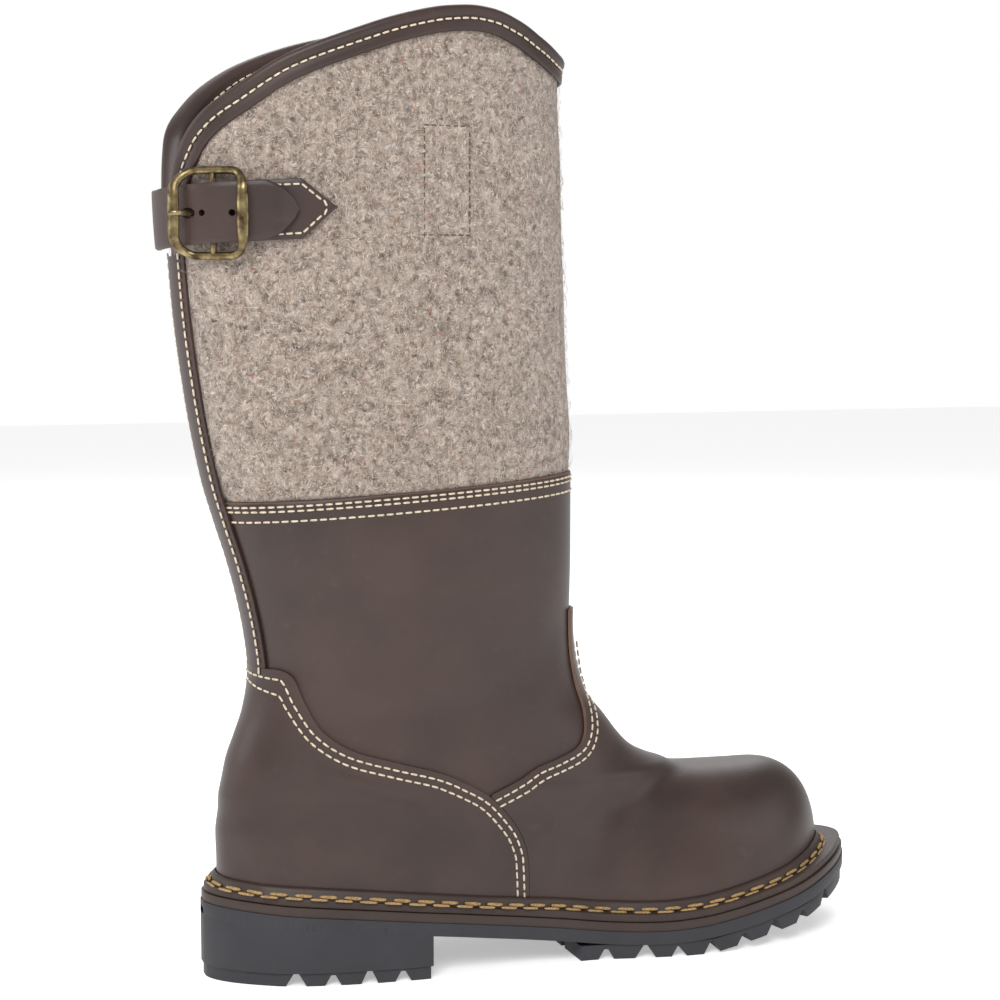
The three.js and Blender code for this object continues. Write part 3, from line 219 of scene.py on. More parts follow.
# Strap: turn, distance of its inner face from the leg
STRAP_STAND = [
    (-0.352, 2.5), (-0.33, 2.5), (-0.31, 3), (-0.285, 3.4), (-0.24, 5.4), (-0.2, 6.1), (-0.15, 5.2),
    (-0.105, 4.6), (-0.055, 4.5), (-0.02, 4.4), (0.02, 4.4), (0.06, 4.2), (0.12, 3.6), (0.2, 2.4),
    (0.26, 1), (0.29, 0.35), (0.36, 0.3),
]
STRAP_TIP_ROUND = 0.06
TAB_TURNS = {"start": -0.207, "point": -0.357, "tip": -0.412}
# Soft creases: middle in length, side and height, run in length and height, half width, depth
CREASES = [
    (60, -31, 88, 15, -5, 2.6, -0.5), (70, -33, 80, 17, -5, 2.4, -0.4), (64, -32, 84, 14, -5, 1.6, 0.3),
    (13, 0, 55, 1, 8, 2.4, -0.7), (17, -11, 50, 3, 9, 2.4, -0.4), (150, -31, 140, 6, 16, 6.0, -0.4),
    (40, -33, 150, 8, 20, 8.0, 0.4), (120, -34, 118, 22, 8, 7.0, -0.5), (222, -34, 52, 14, -7, 6.0, 0.3),
    (176, -26, 84, 9, 12, 5.0, -0.35), (190, -22, 74, 10, 8, 5.0, 0.3), (150, 32, 120, 10, 16, 7.0, -0.5),
]


# Shape functions

def smooth_curve(rows, column=1):
    """Smooth monotone curve through one column of a table."""
    places = np.array([row[0] for row in rows], float)
    values = np.array([row[column] for row in rows], float)
    spans = np.diff(places)
    slopes = np.diff(values) / spans
    tangents = np.concatenate([[slopes[0]], np.zeros(len(places) - 2), [slopes[-1]]])
    both = slopes[:-1] * slopes[1:]
    with np.errstate(divide="ignore", invalid="ignore"):
        inner = np.where(both > 0, 2 * both / (slopes[:-1] + slopes[1:]), 0)
    tangents[1:-1] = inner

    def at(wanted):
        x = np.clip(np.asarray(wanted, float), places[0], places[-1])
        i = np.clip(np.searchsorted(places, x, side="right") - 1, 0, len(places) - 2)
        t = (x - places[i]) / spans[i]
        start = (1 + 2 * t) * (1 - t) ** 2 * values[i] + t * (1 - t) ** 2 * spans[i] * tangents[i]
        end = t * t * (3 - 2 * t) * values[i + 1] + t * t * (t - 1) * spans[i] * tangents[i + 1]
        return start + end

    return at


lateral_share = smooth_curve(SOLE_OUTLINE, 1)
medial_share = smooth_curve(SOLE_OUTLINE, 2)
heel_rise = smooth_curve(SOLE_TOP, 1)
toe_rise = smooth_curve(SOLE_TOP, 2)
spring_share = smooth_curve(TREAD_LINE)
ridge_share = smooth_curve(VAMP_RIDGE)


def rubber_top(x):
    at = np.asarray(x) / OUTSOLE_LENGTH
    heel = heel_rise(at) * (HEEL_HEIGHT - BALL_HEIGHT)
    return BALL_HEIGHT + heel + toe_rise(at) * (TOE_HEIGHT - BALL_HEIGHT)


def tread_height(x):
    return spring_share(np.asarray(x) / OUTSOLE_LENGTH) * TOE_SPRING


def feather_height(x):
    return rubber_top(x) + MIDSOLE_THICKNESS + JOIN_GAP


def plain_halves(x, back, side, toe):
    at = np.clip((x - back) / (OUTSOLE_LENGTH - toe - back), 0, 1)
    return lateral_share(at) * BALL_WIDTH - side, medial_share(at) * BALL_WIDTH - side


def half_widths(x, inset):
    end = OUTSOLE_LENGTH - inset
    heel_round = HEEL_ROUND - inset * 0.6
    toe_round = TOE_ROUND - inset * 0.3
    heel_dome = np.sqrt(1 - np.clip((inset + heel_round - x) / heel_round, 0, 1) ** 2)
    toe_dome = np.sqrt(1 - np.clip((x - end + toe_round) / toe_round, 0, 1) ** 2.2)
    lateral, medial = plain_halves(x, inset, inset, inset)
    return lateral * heel_dome * toe_dome, medial * heel_dome * toe_dome


def foot_field(x, y, z):
    cap = TOE_ROUND - UPPER_TOE_INSET * 0.3
    beyond = np.maximum(x - (OUTSOLE_LENGTH - UPPER_TOE_INSET - cap), 0)
    bottom = feather_height(x)
    rise = ridge_share(x / OUTSOLE_LENGTH) * INSTEP_HEIGHT - bottom
    lateral, medial = plain_halves(x, FOOT_START, UPPER_SIDE_INSET, UPPER_TOE_INSET)
    half = np.where(y < 0, lateral, medial)
    above = np.maximum(z - bottom, 0)
    spread = (np.abs(y) / half) ** FOOT_ROUNDNESS + (above / rise) ** FOOT_ROUNDNESS
    ratio = (spread + (beyond / cap) ** TOE_FULLNESS) ** (1 / FOOT_ROUNDNESS)
    reach = np.sqrt(y * y + above * above + beyond * beyond)
    distance = np.where(reach > 1e-6, reach * (1 - 1 / np.maximum(ratio, 1e-3)), -half)
    return np.maximum(distance, FOOT_START - x)


def leg_height(up):
    return up * ANKLE_HEIGHT if up <= 1 else ANKLE_HEIGHT + (up - 1) * (BOOT_HEIGHT - ANKLE_HEIGHT)


leg_rows = [
    (leg_height(up), back * OUTSOLE_LENGTH, front * OUTSOLE_LENGTH, (heel * HEEL_WIDTH + shaft * SHAFT_WIDTH) / 2)
    for up, back, front, heel, shaft in LEG_SECTIONS
]
leg_back = smooth_curve(leg_rows, 1)
leg_front = smooth_curve(leg_rows, 2)
leg_half = smooth_curve(leg_rows, 3)


def leg_field(x, y, z):
    back, front, half = leg_back(z), leg_front(z), leg_half(z)
    middle = (back + front) / 2
    deep = np.abs(x - middle) / ((front - back) / 2)
    ratio = (deep ** LEG_ROUNDNESS + (np.abs(y) / half) ** LEG_ROUNDNESS) ** (1 / LEG_ROUNDNESS)
    reach = np.hypot(x - middle, y)
    return np.where(reach > 1e-6, reach * (1 - 1 / np.maximum(ratio, 1e-3)), -half)


def boot_field(x, y, z):
    leg, foot = leg_field(x, y, z), foot_field(x, y, z)
    fade = np.clip((1.3 * ANKLE_HEIGHT - z) / (0.46 * ANKLE_HEIGHT), 0, 1)
    blend = INSTEP_BLEND * np.maximum(fade, 0.02)
    mix = np.clip(0.5 + 0.5 * (foot - leg) / blend, 0, 1)
    return foot * (1 - mix) + leg * mix - blend * mix * (1 - mix)


def outwards(p):
    x, y, z = p[..., 0], p[..., 1], p[..., 2]
    e = 0.4
    slope = np.stack(
        [
            boot_field(x + e, y, z) - boot_field(x - e, y, z),
            boot_field(x, y + e, z) - boot_field(x, y - e, z),
            boot_field(x, y, z + e) - boot_field(x, y, z - e),
        ],
        axis=-1,
    )
    return slope / np.linalg.norm(slope, axis=-1, keepdims=True)


def moved_out(p, distance):
    return p + outwards(p) * np.asarray(distance)[..., None]


# Sheets: a middle, a reach, a half width and a height over the plan

def low_sheet(lift):
    middle, reach = PLAN_MIDDLE * OUTSOLE_LENGTH, PLAN_REACH * OUTSOLE_LENGTH
    return (middle, reach, HEEL_WIDTH / 2, lambda x: feather_height(x) + lift)


def ridge_height(x):
    high = np.arange(BOOT_HEIGHT / 2, 0, -0.5)
    inside = boot_field(np.full_like(high, x), np.zeros_like(high), high) <= 0
    return high[np.argmax(inside)]


def foot_sheet(back, front, bend):
    start, end = float(leg_back(back * ANKLE_HEIGHT)), front * OUTSOLE_LENGTH
    drop = back * ANKLE_HEIGHT - ridge_height(end)

    def height(x):
        return back * ANKLE_HEIGHT - drop * np.clip((x - start) / (end - start), 0, 1.5) ** bend

    return ((start + end) / 2, (end - start) / 2, SHAFT_WIDTH / 2, height)


SHAFT_MIDDLE = float(leg_back(BOOT_HEIGHT) + leg_front(BOOT_HEIGHT)) / 2
SHAFT_REACH = float(leg_front(BOOT_HEIGHT) - leg_back(BOOT_HEIGHT)) / 2


def leg_sheet(height):
    return (SHAFT_MIDDLE, SHAFT_REACH, SHAFT_WIDTH / 2, height)


def seam_height(x):
    along = (x - SHAFT_MIDDLE + SHAFT_REACH) / (2 * SHAFT_REACH)
    return SEAM_BACK_HEIGHT + (SEAM_FRONT_HEIGHT - SEAM_BACK_HEIGHT) * along


def surface_points(sheet, turns):
    """Where the rays of these turns leave the boot on a sheet."""
    middle, reach, half, height = sheet
    angle = np.asarray(turns, float) * math.pi
    step_x, step_y = -np.cos(angle) * reach, np.sin(angle) * half

    def outside(share):
        x = middle + step_x * share
        return boot_field(x, step_y * share, height(x) + 0 * x) > 0

    inner, outer = np.zeros_like(angle), np.full_like(angle, 1.7)
    found = np.zeros(angle.shape, bool)
    for share in np.linspace(0, 1.7, 61)[1:]:
        new = outside(share) & ~found
        outer = np.where(new, share, outer)
        inner = np.where(new, share - 1.7 / 60, inner)
        found |= new
        if found.all():
            break
    for _ in range(16):
        between = (inner + outer) / 2
        out = outside(between)
        outer = np.where(out, between, outer)
        inner = np.where(out, inner, between)
    x = middle + step_x * outer
    return np.stack([x, step_y * outer, height(x) + 0 * x], axis=-1)


def running_length(path):
    return np.concatenate([[0], np.cumsum(np.linalg.norm(np.diff(path, axis=0), axis=1))])


edge_turns = np.linspace(0, 1, 81)
edge_length = running_length(surface_points(low_sheet(9), edge_turns))
edge_rows = list(zip(0.72 * edge_length / edge_length[-1] + 0.28 * edge_turns, edge_turns))
turn_of_share = smooth_curve(edge_rows)


def even_turns(count):
    return 2 * np.arange(count) / count - 1


def foot_turns(count):
    even = even_turns(count)
    return np.sign(even) * turn_of_share(np.abs(even))


upper_sheets = (
    [low_sheet(lift) for lift in LOW_LIFTS]
    + [foot_sheet(*row) for row in FOOT_RINGS]
    + [leg_sheet(lambda x, up=up: up * ANKLE_HEIGHT + 0 * x) for up in LEG_LEVELS]
    + [leg_sheet(seam_height)]
)
ring_mix = [0] * len(LOW_LIFTS) + [i / len(FOOT_RINGS) for i in range(len(FOOT_RINGS))] + [1] * 3


def blended_ring(level, count):
    """Ring of points between two of the upper's sheets."""
    i = min(int(level), len(upper_sheets) - 2)
    t = level - i
    low, high = upper_sheets[i], upper_sheets[i + 1]
    sheet = tuple(low[k] * (1 - t) + high[k] * t for k in range(3)) + (
        lambda x: low[3](x) * (1 - t) + high[3](x) * t,
    )
    mix = ring_mix[i] * (1 - t) + ring_mix[i + 1] * t
    return surface_points(sheet, foot_turns(count) * (1 - mix) + even_turns(count) * mix)


def side_point(x, z, side, offset):
    """Point of the boot's side seen at a place of the side view, moved out by an offset."""
    x, z = np.asarray(x, float), np.asarray(z, float)
    inner, outer = np.zeros_like(x), np.full_like(x, 75.0)
    for _ in range(24):
        between = (inner + outer) / 2
        out = boot_field(x, side * between, z) > 0
        outer = np.where(out, between, outer)
        inner = np.where(out, inner, between)
    return moved_out(np.stack([x, side * inner, z], axis=-1), np.full(x.shape, offset))


outer_share = smooth_curve(COLLAR_EDGE, 1)
inner_share = smooth_curve(COLLAR_EDGE, 2)


def collar_height(turn):
    share = np.where(np.asarray(turn) < 0, outer_share(np.abs(turn)), inner_share(np.abs(turn)))
    return BOOT_HEIGHT + (share - 1) * COLLAR_DROP


rim_turns = np.linspace(0, 1, 121)
rim_sheet = leg_sheet(lambda x: BOOT_HEIGHT - COLLAR_DROP / 2 + 0 * x)
rim_length = running_length(surface_points(rim_sheet, rim_turns))
along_at = smooth_curve(list(zip(rim_turns, rim_length)))
turn_at = smooth_curve(list(zip(rim_length, rim_turns)))


def rim_places(turns, down):
    """Turns and heights of the places a distance below the collar's edge, square to it."""
    side = np.where(turns < 0, -1.0, 1.0)
    place = np.abs(turns)
    before, after = np.maximum(place - 0.01, 0), np.minimum(place + 0.01, 1)
    run = along_at(after) - along_at(before)
    ends = (place < 1e-9) | (place > 1 - 1e-9)
    climb = np.where(ends, 0, collar_height(side * after) - collar_height(side * before))
    size = np.hypot(run, climb)
    along = np.maximum(along_at(place) + down * climb / size, 0)
    return side * turn_at(along), collar_height(turns) - down * run / size


def leg_points(turns, heights, offset=0.0):
    """Points of the leg at given turns and heights."""
    base = surface_points(leg_sheet(lambda x: np.broadcast_to(heights, x.shape)), turns)
    return moved_out(base, np.broadcast_to(offset, base.shape[:-1]))


def rim_loop(turns, down, offset):
    places, heights = rim_places(turns, down)
    return leg_points(places, heights, offset)


def creased(points):
    """Pushes the surface in and out along the soft creases."""
    push = np.zeros(points.shape[:-1])
    for x, y, z, run, climb, half, depth in CREASES:
        line = np.array([run, climb]) / max(math.hypot(run, climb), 1e-6)
        offset = np.stack([points[..., 0] - x, points[..., 2] - z], axis=-1)
        along = offset @ line / max(math.hypot(run, climb), 3)
        across = offset @ np.array([-line[1], line[0]]) / half
        near = np.exp(-((points[..., 1] - y) / 26) ** 2)
        push += depth * near * np.exp(-(along ** 2) * 1.4 - across ** 2)
    return moved_out(points, push)


# Mesh functions

def grid_faces(rows, columns, wrap_rows=False, wrap_columns=True):
    i, j = np.meshgrid(
        np.arange(rows if wrap_rows else rows - 1), np.arange(columns if wrap_columns else columns - 1), indexing="ij"
    )
    up, right = (i + 1) % rows, (j + 1) % columns
    corners = [i * columns + j, i * columns + right, up * columns + right, up * columns + j]
    return np.stack(corners, -1).reshape(-1, 4)


def mesh_piece(name, points, faces, smooth=True, closed=True):
    """Object from points in millimetres, its faces turned outwards."""
    mesh = bpy.data.meshes.new(name)
    mesh.from_pydata(((points - CENTRE) / 1000).tolist(), [], [list(map(int, face)) for face in faces])
    work = bmesh.new()
    work.from_mesh(mesh)
    bmesh.ops.remove_doubles(work, verts=work.verts, dist=1e-5)
    bmesh.ops.dissolve_degenerate(work, edges=work.edges, dist=2e-6)
    if closed:
        bmesh.ops.recalc_face_normals(work, faces=work.faces)
    work.to_mesh(mesh)
    work.free()
    mesh.polygons.foreach_set("use_smooth", [smooth] * len(mesh.polygons))
    mesh.update()
    piece = bpy.data.objects.new(name, mesh)
    bpy.context.scene.collection.objects.link(piece)
    return piece


def loop_piece(name, loops, wrap=True, capped=False):
    """Closed solid through loops of points."""
    loops = np.asarray(loops)
    rows, columns = loops.shape[:2]
    points = loops.reshape(-1, 3)
    faces = [list(face) for face in grid_faces(rows, columns, wrap_rows=wrap and not capped)]
    if capped:
        faces.append(list(range(columns))[::-1])
        faces.append([(rows - 1) * columns + i for i in range(columns)])
    return mesh_piece(name, points, faces)


def finished(piece):
    """Turns the object's modifiers into plain mesh."""
    graph = bpy.context.evaluated_depsgraph_get()
    mesh = bpy.data.meshes.new_from_object(piece.evaluated_get(graph))
    piece.modifiers.clear()
    piece.data = mesh
    return piece


def rounded_edges(piece, width, angle=35.0, segments=2):
    bevel = piece.modifiers.new("Rounded edges", "BEVEL")
    bevel.width = width / 1000
    bevel.segments = segments
    bevel.limit_method = "ANGLE"
    bevel.angle_limit = math.radians(angle)
    bevel.use_clamp_overlap = True
    return piece


def smooth_by_angle(piece, degrees=35.0):
    piece.data.set_sharp_from_angle(angle=math.radians(degrees))
    return piece


def cut_out(piece, cutters):
    for cutter in cutters:
        cut = piece.modifiers.new("Cut", "BOOLEAN")
        cut.operation = "DIFFERENCE"
        cut.solver = "MANIFOLD"
        cut.object = cutter
    bpy.context.view_layer.update()
    finished(piece)
    for cutter in cutters:
        bpy.data.objects.remove(cutter)
    return piece


def settled(piece, node, finish=None):
    """Gives a piece its finish and puts it in the place of a solid."""
    if finish:
        piece.data.materials.clear()
        piece.data.materials.append(finish_named(finish))
    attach(piece, "root")
    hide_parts(node)
    return piece


def sole_slab(name, bottom, top, start=0.0, end=OUTSOLE_LENGTH, inset=0.0, steps=110):
    low, high = max(start, inset + 0.25), min(end, OUTSOLE_LENGTH - inset - 0.25)
    share = np.linspace(0, 1, steps + 1)
    if start <= inset:
        share = (1 - np.cos(math.pi * share)) / 2
    if end < OUTSOLE_LENGTH and start > inset:
        share = np.linspace(0, 1, steps + 1)
    x = low + (high - low) * share
    if start > inset and end >= OUTSOLE_LENGTH:
        x = low + (high - low) * np.sin(math.pi / 2 * share)
    lateral, medial = half_widths(x, inset)
    side = lambda y, z: np.stack([x, y, z + 0 * x], axis=-1)
    loops = np.stack(
        [side(-lateral, bottom(x)), side(medial, bottom(x)), side(medial, top(x)), side(-lateral, top(x))], axis=1
    )
    return loop_piece(name, loops, capped=True)


def clipped(points, faces, value):
    """Keeps the part of a quad mesh where the value is below zero, with a clean cut edge."""
    points, value = list(map(tuple, points)), list(value)
    made, kept = {}, []

    def crossing(a, b):
        key = (min(a, b), max(a, b))
        if key not in made:
            t = value[a] / (value[a] - value[b])
            made[key] = len(points)
            points.append(tuple(points[a][k] + (points[b][k] - points[a][k]) * t for k in range(3)))
            value.append(0.0)
        return made[key]

    for face in faces:
        inside = [value[v] < 0 for v in face]
        if all(inside):
            kept.append(list(face))
        elif any(inside):
            ring = []
            for k, a in enumerate(face):
                b = face[(k + 1) % len(face)]
                if value[a] < 0:
                    ring.append(a)
                if (value[a] < 0) != (value[b] < 0):
                    ring.append(crossing(a, b))
            if len(ring) >= 3:
                kept.append(ring)
    used = sorted({v for face in kept for v in face})
    number = {v: i for i, v in enumerate(used)}
    return np.array([points[v] for v in used]), [[number[v] for v in face] for face in kept]


def side_line(rows, count=140):
    """Smooth line through a side view table, in millimetres."""
    plain = np.array([(at * OUTSOLE_LENGTH, up * ANKLE_HEIGHT) for at, up in rows])
    length = running_length(plain)
    even = np.linspace(0, length[-1], count)
    return np.stack([smooth_curve(list(zip(length, plain[:, k])))(even) for k in (0, 1)], axis=-1)


def signed_distance(points, outline):
    """Distance in the side view to a closed outline, below zero inside."""
    p = points[:, [0, 2]][:, None, :]
    a, b = outline, np.roll(outline, -1, axis=0)
    edge = b - a
    t = np.clip(((p - a) * edge).sum(-1) / np.maximum((edge ** 2).sum(-1), 1e-9), 0, 1)
    near = np.linalg.norm(p - a - edge * t[..., None], axis=-1).min(axis=1)
    px, pz = p[..., 0], p[..., 1]
    crosses = (a[:, 1] > pz) != (b[:, 1] > pz)
    with np.errstate(divide="ignore", invalid="ignore"):
        left = px < a[:, 0] + (pz - a[:, 1]) * edge[:, 0] / edge[:, 1]
    inside = (crosses & left).sum(axis=1) % 2 == 1
    return np.where(inside, -near, near)


def beside(line, distance):
    """Side view line moved sideways."""
    tangent = np.gradient(line, axis=0)
    tangent /= np.linalg.norm(tangent, axis=1, keepdims=True)
    return line + np.stack([tangent[:, 1], -tangent[:, 0]], axis=-1) * distance


# Node helpers

def shader_group(name, inputs, outputs):
    tree = bpy.data.node_groups.new(name, "ShaderNodeTree")
    for label, kind, value in inputs:
        socket = tree.interface.new_socket(label, in_out="INPUT", socket_type=kind)
        socket.default_value = value
    for label, kind in outputs:
        tree.interface.new_socket(label, in_out="OUTPUT", socket_type=kind)
    return tree, tree.nodes.new("NodeGroupInput"), tree.nodes.new("NodeGroupOutput")


def add(tree, kind, links=None, **values):
    """Node with values on its named inputs or attributes, and links into it."""
    node = tree.nodes.new(kind)
    for key, value in values.items():
        setattr(node, key, value)
    for key, value in (links or {}).items():
        socket = node.inputs[key]
        if isinstance(value, bpy.types.NodeSocket):
            tree.links.new(value, socket)
        else:
            socket.default_value = value
    return node


def ramp(tree, source, stops):
    node = add(tree, "ShaderNodeValToRGB", {"Fac": source})
    elements = node.color_ramp.elements
    while len(elements) < len(stops):
        elements.new(0.5)
    for element, (place, colour) in zip(elements, stops):
        element.position = place
        element.color = colour if len(colour) == 4 else (*colour, 1)
    return node


def tinted(tree, factor, base, tint):
    node = add(tree, "ShaderNodeMix", {"Factor": factor, "A": base}, data_type="RGBA")
    node.inputs["B"].default_value = (*tint, 1)
    return node


def noise_at(tree, place, scale, detail):
    return add(tree, "ShaderNodeTexNoise", {"Vector": place, "Scale": scale, "Detail": detail})


def bumped(tree, strength, distance, height, normal=None):
    values = {"Strength": strength, "Distance": distance, "Height": height}
    if normal:
        values["Normal"] = normal
    return add(tree, "ShaderNodeBump", values)


def grain_group():
    """Pebbled grain and pores as one height, and a slow mottle."""
    if "Leather grain" in bpy.data.node_groups:
        return bpy.data.node_groups["Leather grain"]
    tree, into, out = shader_group(
        "Leather grain",
        [("Grain scale", "NodeSocketFloat", 900.0), ("Mottle scale", "NodeSocketFloat", 30.0)],
        [("Height", "NodeSocketFloat"), ("Mottle", "NodeSocketFloat"), ("Pores", "NodeSocketFloat")],
    )
    place = add(tree, "ShaderNodeTexCoord")
    cells = add(tree, "ShaderNodeTexVoronoi", {"Vector": place.outputs["Object"], "Scale": into.outputs[0]})
    fine = noise_at(tree, place.outputs["Object"], into.outputs[0], 4.0)
    slow = noise_at(tree, place.outputs["Object"], into.outputs[1], 5.0)
    mix = add(tree, "ShaderNodeMath", {0: cells.outputs["Distance"], 1: 0.6}, operation="MULTIPLY")
    height = add(tree, "ShaderNodeMath", {0: mix.outputs[0], 1: fine.outputs["Fac"]}, operation="ADD")
    tree.links.new(height.outputs[0], out.inputs[0])
    tree.links.new(slow.outputs["Fac"], out.inputs[1])
    tree.links.new(cells.outputs["Distance"], out.inputs[2])
    return tree


def new_material(name):
    material = bpy.data.materials.new(name)
    material.use_nodes = True
    tree = material.node_tree
    return material, tree, tree.nodes["Principled BSDF"]


def leather_material(name, dark, light, rough=0.42, grain=1100.0, bump=0.15, coat=0.1):
    material, tree, skin = new_material(name)
    group = add(tree, "ShaderNodeGroup", node_tree=grain_group())
    group.inputs["Grain scale"].default_value = grain
    group.inputs["Mottle scale"].default_value = 22.0
    colour = ramp(tree, group.outputs["Mottle"], [(0.32, dark), (0.68, light)])
    place = add(tree, "ShaderNodeTexCoord")
    scuffs = noise_at(tree, place.outputs["Object"], 160.0, 6.0)
    worn = ramp(tree, scuffs.outputs["Fac"], [(0.62, (0, 0, 0)), (0.8, (0.35, 0.35, 0.35))])
    mixed = tinted(tree, worn.outputs["Color"], colour.outputs["Color"], [part * 1.5 for part in light])
    tree.links.new(mixed.outputs[2], skin.inputs["Base Color"])
    limits = {"To Min": rough - 0.06, "To Max": rough + 0.08}
    spread = add(tree, "ShaderNodeMapRange", {"Value": group.outputs["Mottle"], **limits})
    tree.links.new(spread.outputs[0], skin.inputs["Roughness"])
    relief = bumped(tree, bump, 0.0004, group.outputs["Height"])
    soft = bumped(tree, 0.25, 0.0012, group.outputs["Mottle"], relief.outputs[0])
    tree.links.new(soft.outputs[0], skin.inputs["Normal"])
    skin.inputs["Coat Weight"].default_value = coat
    skin.inputs["Coat Roughness"].default_value = 0.38
    skin.inputs["Specular IOR Level"].default_value = 0.42
    return material


def felt_material(name, inside=False):
    """Pressed wool: grey-beige ground, tangled light and dark fibres, coloured flecks."""
    material, tree, wool = new_material(name)
    place = add(tree, "ShaderNodeTexCoord")
    here = place.outputs["Object"]
    bend = noise_at(tree, here, 160.0, 3.0)
    turned = add(
        tree, "ShaderNodeVectorMath", {0: bend.outputs["Color"], 1: (0.008, 0.008, 0.008)}, operation="MULTIPLY"
    )
    wavy = add(tree, "ShaderNodeVectorMath", {0: here, 1: turned.outputs[0]}, operation="ADD")
    ground = add(tree, "ShaderNodeTexNoise", {"Vector": here, "Scale": 300.0, "Detail": 8.0, "Roughness": 0.78})
    patches = ramp(
        tree, ground.outputs["Fac"],
        [
            (0.31, (0.06, 0.042, 0.033)), (0.42, (0.17, 0.128, 0.1)),
            (0.52, (0.31, 0.245, 0.2)), (0.66, (0.47, 0.39, 0.325)),
        ],
    )
    strands = []
    for turn, scale in ((0.5, (1900, 270, 520)), (-0.7, (1700, 1800, 240)), (1.3, (440, 280, 1900))):
        turned_by = (turn, turn * 0.6, turn)
        mapping = add(
            tree, "ShaderNodeMapping", {"Vector": wavy.outputs[0], "Rotation": turned_by, "Scale": scale}
        )
        noise = noise_at(tree, mapping.outputs[0], 1.0, 3.0)
        strands.append(noise.outputs["Fac"])
    first = add(tree, "ShaderNodeMath", {0: strands[0], 1: strands[1]}, operation="MAXIMUM")
    tangle = add(tree, "ShaderNodeMath", {0: first.outputs[0], 1: strands[2]}, operation="MAXIMUM")
    pale = ramp(tree, tangle.outputs[0], [(0.58, (0, 0, 0)), (0.7, (0.9, 0.9, 0.9))])
    lighter = tinted(tree, pale.outputs["Color"], patches.outputs["Color"], (0.6, 0.52, 0.45))
    low = add(tree, "ShaderNodeMath", {0: strands[0], 1: strands[2]}, operation="MINIMUM")
    dark = ramp(tree, low.outputs[0], [(0.24, (0.9, 0.9, 0.9)), (0.39, (0, 0, 0))])
    darker = tinted(tree, dark.outputs["Color"], lighter.outputs[2], (0.05, 0.036, 0.03))
    mixed = darker.outputs[2]
    for scale, share, tint in (
        (430.0, 0.03, (0.3, 0.07, 0.06)), (520.0, 0.03, (0.33, 0.17, 0.07)),
        (560.0, 0.03, (0.11, 0.13, 0.18)),
        (470.0, 0.03, (0.55, 0.52, 0.48)), (330.0, 0.035, (0.03, 0.022, 0.02)),
    ):
        away = (scale * 0.01, 0.1, scale * 0.02)
        mapping = add(tree, "ShaderNodeMapping", {"Vector": wavy.outputs[0], "Location": away})
        cells = add(tree, "ShaderNodeTexVoronoi", {"Vector": mapping.outputs[0], "Scale": scale})
        pick = add(tree, "ShaderNodeSeparateColor", {"Color": cells.outputs["Color"]})
        chosen = add(tree, "ShaderNodeMath", {0: pick.outputs[0], 1: share * 1.6}, operation="LESS_THAN")
        near = add(tree, "ShaderNodeMath", {0: cells.outputs["Distance"], 1: 0.3}, operation="LESS_THAN")
        both = add(tree, "ShaderNodeMath", {0: chosen.outputs[0], 1: near.outputs[0]}, operation="MULTIPLY")
        faint = add(tree, "ShaderNodeMath", {0: both.outputs[0], 1: 0.62}, operation="MULTIPLY")
        mixed = tinted(tree, faint.outputs[0], mixed, tint).outputs[2]
    tree.links.new(mixed, wool.inputs["Base Color"])
    nap = bumped(tree, 0.9, 0.0011, ground.outputs["Fac"])
    hair = bumped(tree, 0.7, 0.0007, tangle.outputs[0], nap.outputs[0])
    tree.links.new(hair.outputs[0], wool.inputs["Normal"])
    wool.inputs["Roughness"].default_value = 0.95
    wool.inputs["Sheen Weight"].default_value = 0.25
    wool.inputs["Sheen Roughness"].default_value = 0.6
    wool.inputs["Specular IOR Level"].default_value = 0.15
    return material


def thread_material(name, colour, dark):
    material, tree, thread = new_material(name)
    place = add(tree, "ShaderNodeTexCoord")
    ply = noise_at(tree, place.outputs["Object"], 1500.0, 2.0)
    shade = ramp(tree, ply.outputs["Fac"], [(0.3, dark), (0.62, colour)])
    tree.links.new(shade.outputs["Color"], thread.inputs["Base Color"])
    relief = bumped(tree, 0.5, 0.0003, ply.outputs["Fac"])
    tree.links.new(relief.outputs[0], thread.inputs["Normal"])
    thread.inputs["Roughness"].default_value = 0.7
    return material


def rubber_material(name, colour, rough=0.6):
    material, tree, rubber = new_material(name)
    place = add(tree, "ShaderNodeTexCoord")
    haze = noise_at(tree, place.outputs["Object"], 60.0, 6.0)
    fine = noise_at(tree, place.outputs["Object"], 1400.0, 3.0)
    bright = tuple(min(c * 1.35, 1) for c in colour)
    shade = ramp(tree, haze.outputs["Fac"], [(0.35, colour), (0.7, bright)])
    tree.links.new(shade.outputs["Color"], rubber.inputs["Base Color"])
    limits = {"To Min": rough - 0.08, "To Max": rough + 0.1}
    spread = add(tree, "ShaderNodeMapRange", {"Value": haze.outputs["Fac"], **limits})
    tree.links.new(spread.outputs[0], rubber.inputs["Roughness"])
    relief = bumped(tree, 0.12, 0.0004, fine.outputs["Fac"])
    tree.links.new(relief.outputs[0], rubber.inputs["Normal"])
    rubber.inputs["Specular IOR Level"].default_value = 0.45
    return material


